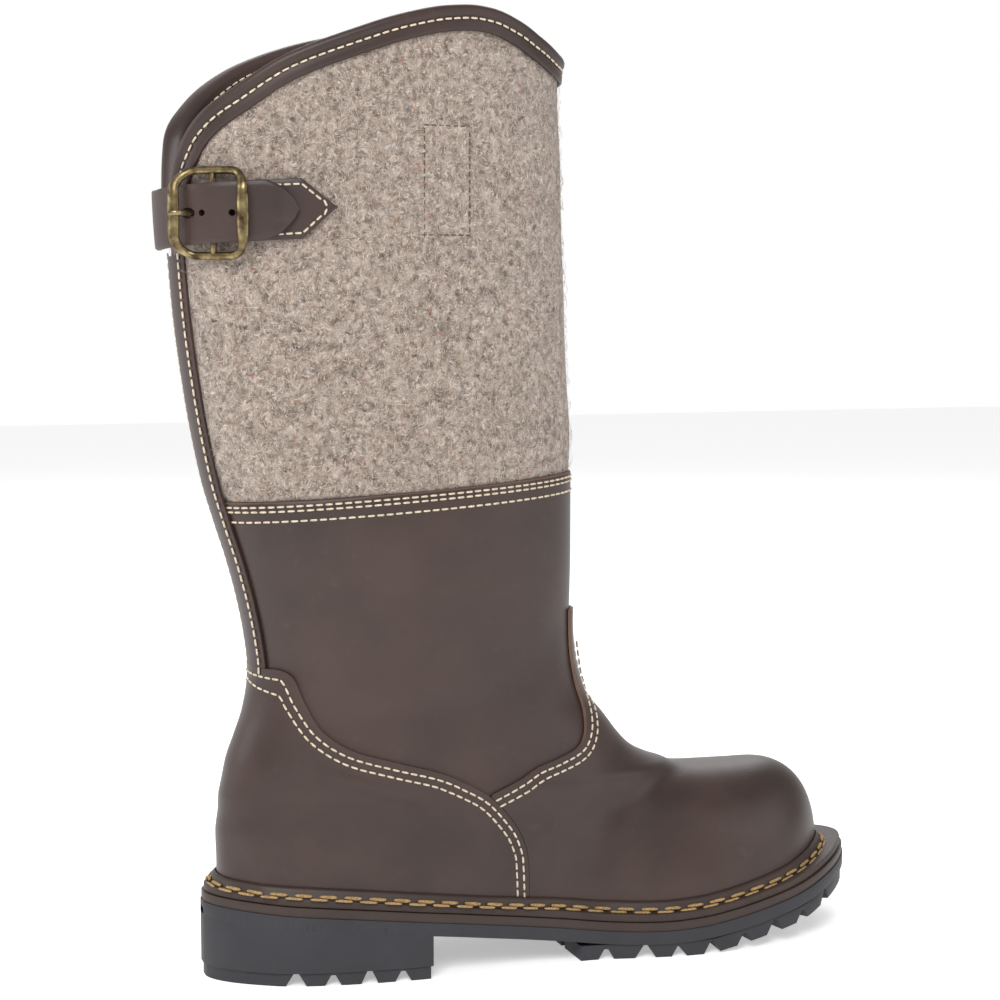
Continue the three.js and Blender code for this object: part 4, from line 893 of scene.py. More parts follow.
def brass_material(name):
    """Antique brass: bright where rubbed, brown in the hollows."""
    material, tree, brass = new_material(name)
    place = add(tree, "ShaderNodeTexCoord")
    haze = noise_at(tree, place.outputs["Object"], 260.0, 6.0)
    shade = ramp(
        tree, haze.outputs["Fac"],
        [(0.32, (0.05, 0.035, 0.018)), (0.52, (0.2, 0.15, 0.075)), (0.74, (0.42, 0.33, 0.17))],
    )
    tree.links.new(shade.outputs["Color"], brass.inputs["Base Color"])
    spread = add(tree, "ShaderNodeMapRange", {"Value": haze.outputs["Fac"], "To Min": 0.5, "To Max": 0.27})
    tree.links.new(spread.outputs[0], brass.inputs["Roughness"])
    relief = bumped(tree, 0.15, 0.0004, haze.outputs["Fac"])
    tree.links.new(relief.outputs[0], brass.inputs["Normal"])
    brass.inputs["Metallic"].default_value = 1.0
    return material


def finish_named(name):
    """Material of one finish, made at its first use."""
    if name in bpy.data.materials:
        return bpy.data.materials[name]
    tones = bpy.context.scene.boot_colours
    if name == "foot_leather":
        return leather_material(name, tones.leather_dark, tones.leather_light)
    if name == "strap_leather":
        return leather_material(name, tones.leather_dark, tones.leather_light, rough=0.46, grain=1500.0, coat=0.05)
    if name == "cut_leather_edge":
        return leather_material(name, (0.09, 0.052, 0.038), (0.17, 0.105, 0.078), rough=0.7, grain=2000.0, coat=0.0)
    if name == "wool_felt":
        return felt_material(name)
    if name == "fine_thread":
        return thread_material(name, tones.fine_thread, (0.4, 0.32, 0.23))
    if name == "welt_thread":
        return thread_material(name, tones.welt_thread, (0.17, 0.1, 0.04))
    if name == "felt_thread":
        return thread_material(name, (0.11, 0.075, 0.05), (0.06, 0.042, 0.03))
    if name == "sole_rubber":
        return rubber_material(name, tones.rubber)
    if name == "welt_board":
        return rubber_material(name, (0.03, 0.017, 0.0125), rough=0.5)
    return brass_material(name)


# Stitches and fibres made by Geometry Nodes

def placed(tree, into, out, points, instance, rotation, scale):
    """Puts one shape on all points, as smooth mesh with the tree's finish."""
    values = {"Points": points, "Instance": instance, "Rotation": rotation, "Scale": scale}
    put = add(tree, "GeometryNodeInstanceOnPoints", values)
    real = add(tree, "GeometryNodeRealizeInstances", {"Geometry": put.outputs[0]})
    smooth = add(tree, "GeometryNodeSetShadeSmooth", {"Geometry": real.outputs[0]})
    finish = {"Geometry": smooth.outputs[0], "Material": into.outputs["Finish"]}
    dressed = add(tree, "GeometryNodeSetMaterial", finish)
    tree.links.new(dressed.outputs[0], out.inputs[0])


def stitch_tree():
    if "Stitch row" in bpy.data.node_groups:
        return bpy.data.node_groups["Stitch row"]
    tree = bpy.data.node_groups.new("Stitch row", "GeometryNodeTree")
    face = tree.interface
    face.new_socket("Geometry", in_out="INPUT", socket_type="NodeSocketGeometry")
    for label in ("Pitch", "Length", "Thickness"):
        face.new_socket(label, in_out="INPUT", socket_type="NodeSocketFloat")
    face.new_socket("Finish", in_out="INPUT", socket_type="NodeSocketMaterial")
    face.new_socket("Geometry", in_out="OUTPUT", socket_type="NodeSocketGeometry")
    into, out = tree.nodes.new("NodeGroupInput"), tree.nodes.new("NodeGroupOutput")
    curve = add(tree, "GeometryNodeMeshToCurve", {"Mesh": into.outputs["Geometry"]})
    points = add(
        tree, "GeometryNodeCurveToPoints", {"Curve": curve.outputs[0], "Length": into.outputs["Pitch"]}, mode="LENGTH"
    )
    along = add(tree, "FunctionNodeAlignRotationToVector", {"Vector": points.outputs["Tangent"]}, axis="Z")
    half = add(tree, "ShaderNodeMath", {0: into.outputs["Length"], 1: 0.5}, operation="MULTIPLY")
    thin = add(tree, "ShaderNodeMath", {0: into.outputs["Thickness"], 1: 0.5}, operation="MULTIPLY")
    size = add(tree, "ShaderNodeCombineXYZ", {"X": thin.outputs[0], "Y": thin.outputs[0], "Z": half.outputs[0]})
    bead = add(tree, "GeometryNodeMeshUVSphere", {"Segments": 7, "Rings": 6, "Radius": 1.0})
    here = add(tree, "ShaderNodeSeparateXYZ", {0: add(tree, "GeometryNodeInputPosition").outputs[0]})
    squared = add(tree, "ShaderNodeMath", {0: here.outputs[2], 1: 2.0}, operation="POWER")
    fourth = add(tree, "ShaderNodeMath", {0: here.outputs[2], 1: 4.0}, operation="POWER")
    both = add(tree, "ShaderNodeMath", {0: squared.outputs[0], 1: fourth.outputs[0]}, operation="ADD")
    more = add(tree, "ShaderNodeMath", {0: both.outputs[0], 1: 1.0}, operation="ADD")
    fuller = add(tree, "ShaderNodeMath", {0: more.outputs[0]}, operation="SQRT")
    swell = add(tree, "ShaderNodeCombineXYZ", {"X": fuller.outputs[0], "Y": fuller.outputs[0], "Z": 1.0})
    again = add(tree, "GeometryNodeInputPosition")
    blunt = add(tree, "ShaderNodeVectorMath", {0: again.outputs[0], 1: swell.outputs[0]}, operation="MULTIPLY")
    shaped = add(tree, "GeometryNodeSetPosition", {"Geometry": bead.outputs["Mesh"], "Position": blunt.outputs[0]})
    placed(tree, into, out, points.outputs["Points"], shaped.outputs[0], along.outputs[0], size.outputs[0])
    return tree


def run_tree(piece, tree, values):
    modifier = piece.modifiers.new("Made by nodes", "NODES")
    modifier.node_group = tree
    for item in tree.interface.items_tree:
        if item.in_out == "INPUT" and item.name in values:
            modifier[item.identifier] = values[item.name]
    return finished(piece)


def stitches(name, paths, pitch, length, thickness, finish, slot):
    """One object for rows of stitches along paths in millimetres."""
    points = np.concatenate(paths)
    edges, start = [], 0
    for path in paths:
        edges += [(start + i, start + i + 1) for i in range(len(path) - 1)]
        start += len(path)
    mesh = bpy.data.meshes.new(name)
    mesh.from_pydata(((points - CENTRE) / 1000).tolist(), edges, [])
    piece = bpy.data.objects.new(name, mesh)
    bpy.context.scene.collection.objects.link(piece)
    material = finish_named(finish)
    run_tree(
        piece, stitch_tree(),
        {"Pitch": pitch / 1000, "Length": length / 1000, "Thickness": thickness / 1000, "Finish": material},
    )
    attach(piece, "root")
    return piece


def fine_stitches(name, paths, slot, share=1.0):
    sizes = bpy.context.scene.boot_sizes
    pitch, length = sizes.stitch_pitch * share, sizes.stitch_length * share
    return stitches(name, paths, pitch, length, sizes.thread, "fine_thread", slot)


def fibre_tree():
    tree = bpy.data.node_groups.new("Loose wool", "GeometryNodeTree")
    face = tree.interface
    face.new_socket("Geometry", in_out="INPUT", socket_type="NodeSocketGeometry")
    for label in ("Density", "Length"):
        face.new_socket(label, in_out="INPUT", socket_type="NodeSocketFloat")
    face.new_socket("Seed", in_out="INPUT", socket_type="NodeSocketInt")
    face.new_socket("Finish", in_out="INPUT", socket_type="NodeSocketMaterial")
    face.new_socket("Geometry", in_out="OUTPUT", socket_type="NodeSocketGeometry")
    into, out = tree.nodes.new("NodeGroupInput"), tree.nodes.new("NodeGroupOutput")
    spots = add(
        tree, "GeometryNodeDistributePointsOnFaces",
        {"Mesh": into.outputs["Geometry"], "Density": into.outputs["Density"], "Seed": into.outputs["Seed"]},
    )
    arc = add(
        tree, "GeometryNodeCurveQuadraticBezier",
        {"Resolution": 4, "Start": (-0.5, 0, -0.02), "Middle": (0.05, 0.28, 0.3), "End": (0.5, -0.05, 0.02)},
    )
    profile = add(tree, "GeometryNodeCurvePrimitiveCircle", {"Resolution": 3, "Radius": 0.0095})
    strand = add(tree, "GeometryNodeCurveToMesh", {"Curve": arc.outputs[0], "Profile Curve": profile.outputs[0]})
    spin = add(
        tree, "FunctionNodeRandomValue", {"Min": (-0.25, -0.25, -3.14), "Max": (0.25, 0.25, 3.14)},
        data_type="FLOAT_VECTOR",
    )
    tree.links.new(into.outputs["Seed"], spin.inputs["Seed"])
    turned = add(
        tree, "FunctionNodeRotateRotation", {"Rotation": spots.outputs["Rotation"], "Rotate By": spin.outputs[0]},
        rotation_space="LOCAL",
    )
    vary = add(tree, "FunctionNodeRandomValue", data_type="FLOAT")
    vary.inputs[2].default_value, vary.inputs[3].default_value = 0.45, 1.5
    size = add(tree, "ShaderNodeMath", {0: vary.outputs[1], 1: into.outputs["Length"]}, operation="MULTIPLY")
    placed(tree, into, out, spots.outputs["Points"], strand.outputs[0], turned.outputs[0], size.outputs[0])
    return tree


# Properties a user would change

def tone(label, hint, value):
    return bpy.props.FloatVectorProperty(name=label, description=hint, subtype="COLOR", default=value)


class BootSizes(bpy.types.PropertyGroup):
    stitch_pitch: bpy.props.FloatProperty(
        name="Stitch pitch", description="Distance between fine stitches, mm", default=3.9, min=1
    )
    stitch_length: bpy.props.FloatProperty(
        name="Stitch length", description="Length of a fine stitch, mm", default=3.1, min=0.5
    )
    thread: bpy.props.FloatProperty(
        name="Thread", description="Thickness of the fine thread, mm", default=0.9, min=0.2
    )
    welt_pitch: bpy.props.FloatProperty(
        name="Welt stitch pitch", description="Distance between welt stitches, mm", default=10.2, min=2
    )
    fibre_density: bpy.props.FloatProperty(
        name="Loose wool", description="Loose fibres per square metre of felt", default=52000, min=0
    )
    fibre_length: bpy.props.FloatProperty(
        name="Fibre length", description="Mean length of a loose fibre", default=0.0062, unit="LENGTH"
    )


class BootColours(bpy.types.PropertyGroup):
    leather_dark: tone("Leather, dark", "Dark tone of the leather", (0.025, 0.0125, 0.0098))
    leather_light: tone("Leather, light", "Light tone of the leather", (0.048, 0.0255, 0.0195))
    fine_thread: tone("Fine thread", "Colour of the fine stitches", (0.72, 0.61, 0.46))
    welt_thread: tone("Welt thread", "Colour of the welt's stitches", (0.42, 0.27, 0.105))
    rubber: tone("Rubber", "Colour of the outsole", (0.021, 0.0205, 0.0245))


# Operators

class BOOT_OT_sole(bpy.types.Operator):
    """Outsole with its lugs, and the midsole over it"""

    bl_idname = "boot.sole"
    bl_label = "Sole"

    def execute(self, context):
        in_plate = lambda x: rubber_top(x) - PLATE_THICKNESS / 2
        step_top = lambda x: tread_height(x) + LUG_DEPTH + 0.8
        plate = sole_slab("outsole_plate", lambda x: rubber_top(x) - PLATE_THICKNESS, rubber_top)
        heel = sole_slab("outsole_heel", lambda x: tread_height(x) + LUG_DEPTH, in_plate, end=HEEL_LENGTH, steps=50)
        treads = [
            sole_slab(
                "heel_tread", tread_height, step_top, end=HEEL_LENGTH - LUG_EDGE_STEP, inset=LUG_EDGE_STEP, steps=50
            ),
            sole_slab(
                "fore_tread", tread_height, lambda x: np.minimum(step_top(x), in_plate(x)),
                start=FOREPART_START, inset=LUG_EDGE_STEP, steps=70,
            ),
        ]
        stretches = ((0, HEEL_LENGTH + 5), (FOREPART_START - 5, OUTSOLE_LENGTH))
        for tread, cutters in zip(treads, [self.cutters(*stretch) for stretch in stretches]):
            cut_out(tread, cutters)
        work = bmesh.new()
        for part in (plate, heel, *treads):
            rounded_edges(part, 0.55 if part is plate else 0.5, 30)
            finished(part)
            work.from_mesh(part.data)
            bpy.data.objects.remove(part)
        mesh = bpy.data.meshes.new("outsole_dressed")
        work.to_mesh(mesh)
        work.free()
        outsole = bpy.data.objects.new("outsole_dressed", mesh)
        context.scene.collection.objects.link(outsole)
        mesh.polygons.foreach_set("use_smooth", [True] * len(mesh.polygons))
        smooth_by_angle(outsole, 32)
        settled(outsole, "outsole", "sole_rubber")
        midsole = sole_slab(
            "midsole_dressed", lambda x: rubber_top(x) + 0.05, lambda x: rubber_top(x) + MIDSOLE_THICKNESS, inset=0.4
        )
        finished(rounded_edges(midsole, 0.7))
        smooth_by_angle(midsole, 40)
        settled(midsole, "midsole", "welt_board")
        return {"FINISHED"}

    def cutters(self, start, end):
        made = []
        for at, wide, deep in EDGE_GAPS:
            x = at * OUTSOLE_LENGTH
            if not start < x < end:
                continue
            for side in (-1, 1):
                edge_y = lambda p: -half_widths(np.array(p), 0)[0] if side < 0 else half_widths(np.array(p), 0)[1]
                lean = math.atan2(float(edge_y(x + 1.0) - edge_y(x - 1.0)), 2)
                inwards = np.array([-math.sin(lean), math.cos(lean), 0]) * -side
                along = np.array([math.cos(lean), math.sin(lean), 0])
                base = np.array([x, float(edge_y(x)), float(tread_height(x))])
                mouth = max(wide, 7.0) / 2 + 0.8
                section = [(-mouth, -1.5), (mouth, -1.5), (0.9, max(deep, 4.4)), (-0.9, max(deep, 4.4))]
                loops = [
                    [base + along * a + inwards * d + np.array([0, 0, b]) for a, b in section]
                    for d in (-6.0, EDGE_LUG_REACH)
                ]
                made.append(loop_piece("gap", loops, capped=True))
        for at in CENTRE_GAPS:
            x = at * OUTSOLE_LENGTH
            if start < x < end:
                half = BALL_WIDTH / 2 - EDGE_LUG_REACH
                z = float(tread_height(x))
                loops = [
                    [(x - 2, y, z - 5.6), (x + 2, y, z - 5.6), (x + 2, y, z + 5.6), (x - 2, y, z + 5.6)]
                    for y in (-half, half)
                ]
                made.append(loop_piece("gap", np.array(loops), capped=True))
        depth = lambda x: tread_height(x) + LUG_DEPTH
        below = lambda x: tread_height(x) - 2
        outer = sole_slab("channel", below, depth, start, end, EDGE_LUG_REACH, 40)
        inner = sole_slab(
            "core", lambda x: below(x) - 1, lambda x: depth(x) + 1, start, end, EDGE_LUG_REACH + TREAD_CHANNEL, 40
        )
        made.append(cut_out(outer, [inner]))
        return made


class BOOT_OT_welt(bpy.types.Operator):
    """Welt strip with its storm lip and the thick stitches along it"""

    bl_idname = "boot.welt"
    bl_label = "Welt"

    def execute(self, context):
        turns = foot_turns(260)
        clear = OVERLAY_WALL + 2 * JOIN_GAP
        top = WELT_THICKNESS + STORM_LIP_HEIGHT
        outer = lambda lift, inset=WELT_EDGE_INSET: edge_points(turns, inset, lift)
        rounds = [
            raised(turns, 0.05, clear), outer(0.05), outer(2.4), outer(WELT_THICKNESS - 0.25, WELT_EDGE_INSET + 0.25),
            outer(WELT_THICKNESS, WELT_EDGE_INSET + 0.9),
            raised(turns, WELT_THICKNESS, clear + STORM_LIP_THICKNESS + 0.5),
            raised(turns, WELT_THICKNESS + 0.5, clear + STORM_LIP_THICKNESS),
            raised(turns, top - 1.2, clear + STORM_LIP_THICKNESS * 0.8),
            raised(turns, top - 0.3, clear + STORM_LIP_THICKNESS * 0.5),
            raised(turns, top, clear + 0.2),
        ]
        welt = loop_piece("welt_dressed", rounds)
        smooth_by_angle(welt, 50)
        settled(welt, "welt", "welt_board")
        pitch = context.scene.boot_sizes.welt_pitch
        lip = clear + STORM_LIP_THICKNESS
        for name, lift, out, thick, start in (("upper", 1.5, 0.55, 1.5, 0), ("lower", 0.45, 1.75, 1.15, 0.5)):
            ring = raised(turns, WELT_THICKNESS + lift, lip + out)
            ring = np.concatenate([ring, ring[:2]])
            length = running_length(ring)
            even = np.linspace(start * pitch, length[-1], 900)
            path = np.stack([np.interp(even, length, ring[:, k]) for k in range(3)], axis=-1)
            stitches("welt_stitches_" + name, [path], pitch, pitch * 0.74, thick, "welt_thread", "welt")
        return {"FINISHED"}


def raised(turns, lift, offset):
    foot = surface_points(low_sheet(lift), turns)
    out = outwards(foot)
    out[:, 2] = 0
    return foot + out / np.linalg.norm(out, axis=1, keepdims=True) * offset


def edge_points(turns, inset, lift):
    """Points of the sole's edge on the rays of these turns."""
    middle, reach, half, _ = low_sheet(0)
    angle = turns * math.pi
    step_x, step_y = -np.cos(angle) * reach, np.sin(angle) * half
    inner, outer = np.zeros_like(angle), np.full_like(angle, 2.4)
    for _ in range(24):
        between = (inner + outer) / 2
        x, y = middle + step_x * between, step_y * between
        lateral, medial = half_widths(np.clip(x, inset, OUTSOLE_LENGTH - inset), inset)
        out = (x <= inset) | (x >= OUTSOLE_LENGTH - inset) | np.where(y < 0, -y > lateral, y > medial)
        outer = np.where(out, between, outer)
        inner = np.where(out, inner, between)
    x = middle + step_x * outer
    return np.stack([x, step_y * outer, feather_height(x) + lift], axis=-1)


class BOOT_OT_insole(bpy.types.Operator):
    """Felt insole inside the boot"""

    bl_idname = "boot.insole"
    bl_label = "Insole"

    def execute(self, context):
        turns = foot_turns(160)
        rim = moved_out(surface_points(low_sheet(0.2), turns), np.full(len(turns), -INSOLE_INSET))
        middle = np.array([PLAN_MIDDLE * OUTSOLE_LENGTH, 0.0, 0.0])
        loops = []
        for share, lift in INSOLE_SECTION:
            ring = middle + (rim - middle) * share
            ring[:, 2] = feather_height(ring[:, 0]) + lift
            loops.append(ring)
        ground = float(feather_height(middle[0]))
        lowest, highest = (np.tile(middle + [0, 0, ground + lift], (len(turns), 1)) for lift in (0.1, 3.8))
        insole = loop_piece("insole_dressed", [lowest, *loops, highest], wrap=False)
        settled(insole, "insole", "wool_felt")
        return {"FINISHED"}


class BOOT_OT_upper(bpy.types.Operator):
    """Leather upper and the counter and vamp over it"""

    bl_idname = "boot.upper"
    bl_label = "Upper"

    def execute(self, context):
        columns = UPPER_COLUMNS
        levels = np.linspace(0, len(upper_sheets) - 1, UPPER_ROWS)
        rings = np.array([blended_ring(level, columns) for level in levels])
        rings = creased(rings)
        offsets = (-0.25, -UPPER_WALL / 2, -UPPER_WALL + 0.25)
        edge = [moved_out(rings[-1], np.full(columns, offset)) for offset in offsets]
        edge = np.array([ring + [0, 0, rise] for ring, rise in zip(edge, (0.3, 0.45, 0.3))])
        inner = moved_out(rings[::-1], np.full(rings.shape[:2], -UPPER_WALL))
        upper = loop_piece("upper_dressed", np.concatenate([rings, edge, inner]))
        settled(upper, "upper", "foot_leather")
        upper.data.materials.append(finish_named("cut_leather_edge"))
        middle = np.array([polygon.center.z for polygon in upper.data.polygons]) * 1000
        places = np.array([polygon.center.x for polygon in upper.data.polygons]) * 1000 + CENTRE[0]
        raw = middle > seam_height(places) + 0.1
        upper.data.polygons.foreach_set("material_index", raw.astype(int))
        self.overlay("counter", rings, levels, columns)
        self.overlay("vamp", rings, levels, columns)
        return {"FINISHED"}

    def overlay(self, name, rings, levels, columns):
        kept = levels < 15.6
        points = moved_out(rings[kept], np.full(rings[kept].shape[:2], JOIN_GAP + OVERLAY_WALL)).reshape(-1, 3)
        faces = grid_faces(int(kept.sum()), columns)
        counter_line, throat = side_line(COUNTER_EDGE), side_line(VAMP_EDGE)
        if name == "counter":
            outline = np.concatenate([counter_line, [[-30, 0]]])
            cut = signed_distance(points, outline)
        else:
            below = counter_line[counter_line[:, 1] < throat[0, 1]][::-1] + [JOIN_GAP, 0]
            far = OUTSOLE_LENGTH + 20
            outline = np.concatenate([below, throat + [JOIN_GAP, 0], [[far, throat[-1, 1]], [far, 0]]])
            cut = signed_distance(points, outline)
        points, faces = clipped(points, faces, cut)
        piece = mesh_piece(name + "_dressed", points, faces, closed=False)
        centres = np.array([polygon.center for polygon in piece.data.polygons]) * 1000 + CENTRE
        normals = np.array([polygon.normal for polygon in piece.data.polygons])
        if (outwards(centres) * normals).sum() < 0:
            piece.data.flip_normals()
        piece.data.materials.append(finish_named("foot_leather"))
        piece.data.materials.append(finish_named("cut_leather_edge"))
        wall = piece.modifiers.new("Wall", "SOLIDIFY")
        wall.thickness = OVERLAY_WALL / 1000
        wall.offset = -1
        wall.material_offset_rim = 1
        wall.use_even_offset = True
        finished(piece)
        smooth_by_angle(piece, 50)
        settled(piece, name)


class BOOT_OT_leg(bpy.types.Operator):
    """Felt leg, back strap, collar binding and loose wool"""

    bl_idname = "boot.leg"
    bl_label = "Leg"

    def execute(self, context):
        self.felt(context)
        self.back_strap()
        self.binding()
        return {"FINISHED"}

    def felt(self, context):
        columns = FELT_COLUMNS
        turns = even_turns(columns)
        top_turns, top_heights = rim_places(turns, BINDING_ROLL + BINDING_WALL)
        flat = BOOT_HEIGHT - COLLAR_DROP - 2 * BINDING_DEPTH
        seam = surface_points(leg_sheet(seam_height), turns)[:, 2]
        loops = [leg_points(turns, seam - FELT_LAP, -2.75), leg_points(turns, seam + 0.2, -2.75)]
        outer = []
        for share in np.linspace(0, 1, FELT_ROWS):
            height = seam + 0.6 + (flat - seam - 0.6) * share
            tuck = -1.1 * math.exp(-share * 9)
            outer.append(leg_points(turns, height, tuck))
        for share in np.linspace(0, 1, FELT_ROWS)[1:]:
            eased = share * share * (3 - 2 * share)
            outer.append(leg_points(turns + (top_turns - turns) * eased, flat + (top_heights - flat) * share, 0.0))
        outer = np.array(outer)
        soft = 0.35 * (np.sin(outer[..., 2] / 9 + outer[..., 0] / 21) + np.sin(outer[..., 0] / 13 - outer[..., 2] / 31))
        outer = moved_out(outer, soft * 0.6)
        inner = moved_out(outer[::-1], np.full(outer.shape[:2], -FELT_WALL))
        low = leg_points(turns, seam - FELT_LAP, -FELT_WALL)[None]
        felt = loop_piece("felt_leg", np.concatenate([np.array(loops), outer, inner, low]))
        settled(felt, "felt_shaft", "wool_felt")
        ground = mesh_piece("loose_wool", outer.reshape(-1, 3), grid_faces(len(outer), columns), closed=False)
        centre = np.array([polygon.center for polygon in ground.data.polygons]) * 1000 + CENTRE
        normal = np.array([polygon.normal for polygon in ground.data.polygons])
        if (outwards(centre) * normal).sum() < 0:
            ground.data.flip_normals()
        sizes = context.scene.boot_sizes
        wool = run_tree(
            ground, fibre_tree(),
            {
                "Density": sizes.fibre_density, "Length": sizes.fibre_length,
                "Seed": FIBRE_SEED, "Finish": self.fibre_finish(),
            },
        )
        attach(wool, "root")

    def fibre_finish(self):
        material, tree, wool = new_material("loose_fibre")
        place = add(tree, "ShaderNodeTexCoord")
        noise = noise_at(tree, place.outputs["Object"], 210.0, 2.0)
        shade = ramp(
            tree, noise.outputs["Fac"],
            [
                (0.3, (0.07, 0.05, 0.042)), (0.42, (0.3, 0.25, 0.2)),
                (0.55, (0.5, 0.43, 0.36)), (0.75, (0.68, 0.61, 0.54)),
            ],
        )
        tree.links.new(shade.outputs["Color"], wool.inputs["Base Color"])
        wool.inputs["Roughness"].default_value = 0.9
        wool.inputs["Specular IOR Level"].default_value = 0.15
        return material

    def back_strap(self):
        heights = np.linspace(ANKLE_HEIGHT - 1, BOOT_HEIGHT - COLLAR_DROP - BINDING_DEPTH, 70)
        across = np.linspace(-BACK_STRAP_HALF_WIDTH, BACK_STRAP_HALF_WIDTH, STRIP_COLUMNS)
        rows = []
        for z in heights:
            turns = np.linspace(-0.3, 0.3, 121)
            line = surface_points(leg_sheet(lambda x, z=z: z + 0 * x), turns)
            order = np.argsort(line[:, 1])
            x = np.interp(across, line[order, 1], line[order, 0])
            rows.append(np.stack([x, across, np.full_like(x, z)], axis=-1))
        base = np.array(rows)
        near = moved_out(base, np.full(base.shape[:2], JOIN_GAP))
        crown = np.linspace(-1, 1, STRIP_COLUMNS) ** 8
        out = moved_out(base, np.broadcast_to(JOIN_GAP + OVERLAY_WALL - 0.5 * crown, base.shape[:2]))
        loops = np.concatenate([out, near[:, ::-1]], axis=1)
        strap = loop_piece("back_strap_dressed", loops, capped=True)
        smooth_by_angle(strap, 50)
        settled(strap, "back_strap", "strap_leather")
        lines = [base[:, STRIP_COLUMNS // 2 + side * 6] + [0, side * 0.9, 0] for side in (-1, 1)]
        rows = [moved_out(line, np.full(len(base), OVERLAY_TOP)) for line in lines]
        fine_stitches("back_strap_stitches", rows, "back_strap")

    def binding(self):
        even = even_turns(360)
        turns = np.sign(even) * (0.45 * np.abs(even) + 0.55 * np.abs(even) ** 1.6)
        near, out = JOIN_GAP, JOIN_GAP + BINDING_WALL
        inside = -FELT_WALL - JOIN_GAP
        section = [
            (BINDING_DEPTH, near), (BINDING_DEPTH + 0.2, near + 0.8), (BINDING_DEPTH - 0.3, out - 0.1),
            (BINDING_DEPTH - 1.4, out), (7.6, out + 0.1), (5.9, out - 0.35), (5.4, out - 0.45), (4.6, out + 0.2),
            (BINDING_ROLL + 0.2, out + 0.9), (2.2, out + 1.15), (1.0, out + 0.7), (0.25, out - 0.4), (0.0, -1.2),
            (0.05, -3.2), (0.6, -5.4), (1.8, inside - 1.2), (3.2, inside - BINDING_WALL),
            (6.0, inside - BINDING_WALL + 0.3), (BINDING_DEPTH - 0.4, inside - BINDING_WALL + 0.2),
            (BINDING_DEPTH, inside - 0.4), (BINDING_DEPTH, inside), (4.6, inside), (4.6, near),
        ]
        loops = [rim_loop(turns, down, offset) for down, offset in section]
        binding = loop_piece("collar_binding_dressed", loops)
        settled(binding, "collar_binding", "strap_leather")
        row = rim_loop(turns, COLLAR_ROW, out + 0.15)
        row_in = rim_loop(turns, COLLAR_ROW, inside - BINDING_WALL - 0.1)
        paths = [np.concatenate([path, path[:1]]) for path in (row, row_in)]
        fine_stitches("collar_stitches", paths, "collar_binding")


class BOOT_OT_seams(bpy.types.Operator):
    """Rows of fine stitches of the leather seams and the sewn pull loop"""

    bl_idname = "boot.seams"
    bl_label = "Seams"

    def execute(self, context):
        turns = np.linspace(-1, 1, 361)
        seam = surface_points(leg_sheet(seam_height), turns)[:, 2]
        rows = []
        for down in SEAM_ROWS:
            row = leg_points(turns, seam - down, 0.15)
            rows += self.away_from_back(row)
        fine_stitches("seam_stitches", rows, "upper")
        counter_line, throat = side_line(COUNTER_EDGE), side_line(VAMP_EDGE)
        paths = {"counter": [], "vamp": []}
        for side in (-1, 1):
            for inset in OVERLAY_ROWS:
                line = beside(counter_line, inset)
                line = line[(line[:, 0] > 31) & (line[:, 1] > feather_height(line[:, 0]) + 8)]
                row = side_point(line[:, 0], line[:, 1], side, OVERLAY_TOP)
                first = math.atan2(row[0, 1] / SHAFT_WIDTH * 2, (SHAFT_MIDDLE - row[0, 0]) / SHAFT_REACH) / math.pi
                round_back = np.linspace(0, first, 16)[:-1]
                heights = np.linspace(ANKLE_HEIGHT - inset, row[0, 2], 16)[:-1]
                round_back = leg_points(round_back, heights, OVERLAY_TOP)
                paths["counter"].append(np.concatenate([round_back, row]))
                line = beside(throat, inset)
                edge_x = np.interp(line[:, 1], counter_line[::-1, 1], counter_line[::-1, 0])
                line = line[(line[:, 1] < 132) & (line[:, 0] > edge_x + 1.5)]
                paths["vamp"].append(side_point(line[:, 0], line[:, 1], side, OVERLAY_TOP))
        for name, lines in paths.items():
            fine_stitches(name + "_stitches", lines, name)
        (back, front), (low, high) = PULL_LOOP_PLACE, PULL_LOOP_HEIGHT
        corners = np.array([(back, low), (front, low), (front, high), (back, high), (back, low)])
        sides = [np.linspace(a, b, 24)[:-1] for a, b in zip(corners[:-1], corners[1:])]
        dense = np.concatenate(sides + [corners[:1]])
        loops = [side_point(dense[:, 0], dense[:, 1], side, 0.1) for side in (-1, 1)]
        stitches("pull_loop_stitches", loops, *PULL_LOOP_STITCH, "felt_thread", "felt_shaft")
        return {"FINISHED"}

    def away_from_back(self, row):
        """Splits a row where the back strap covers it."""
        open_part = row[np.abs(row[:, 1]) + (row[:, 0] > 60) * 100 > BACK_STRAP_HALF_WIDTH + 1.0]
        gaps = np.where(np.linalg.norm(np.diff(open_part, axis=0), axis=1) > 10)[0]
        return np.split(open_part, gaps + 1)


def band_points(turns, high, stand):
    """Points of an upright band round the leg."""
    heights = STRAP_HEIGHT + STRAP_CLIMB * np.abs(turns) + high
    foot = leg_points(turns, heights)
    out = outwards(foot)
    out[:, 2] = 0
    return foot + out / np.linalg.norm(out, axis=1, keepdims=True) * np.asarray(stand)[:, None]


def band_piece(name, turns, half, near, thick):
    section = [
        (-1, 0.25), (-0.93, 0.02), (0.93, 0.02), (1, 0.25), (1, 0.75), (0.95, 0.96), (0.8, 1.0), (0.4, 1.03),
        (0, 1.04),
        (-0.4, 1.03), (-0.8, 1.0), (-0.95, 0.96), (-1, 0.75),
    ]
    loops = np.stack([band_points(turns, half * up, near + thick * out) for up, out in section], axis=1)
    return loop_piece(name, loops, capped=True)


def buckle_axes():
    turn = np.array([BUCKLE_TURN])
    centre = band_points(turn, 0.0, np.zeros(1))[0]
    out = outwards(centre[None])[0]
    out[2] = 0
    out /= np.linalg.norm(out)
    across = np.array([-out[1], out[0], 0])
    return centre, across if across[0] > 0 else -across, out


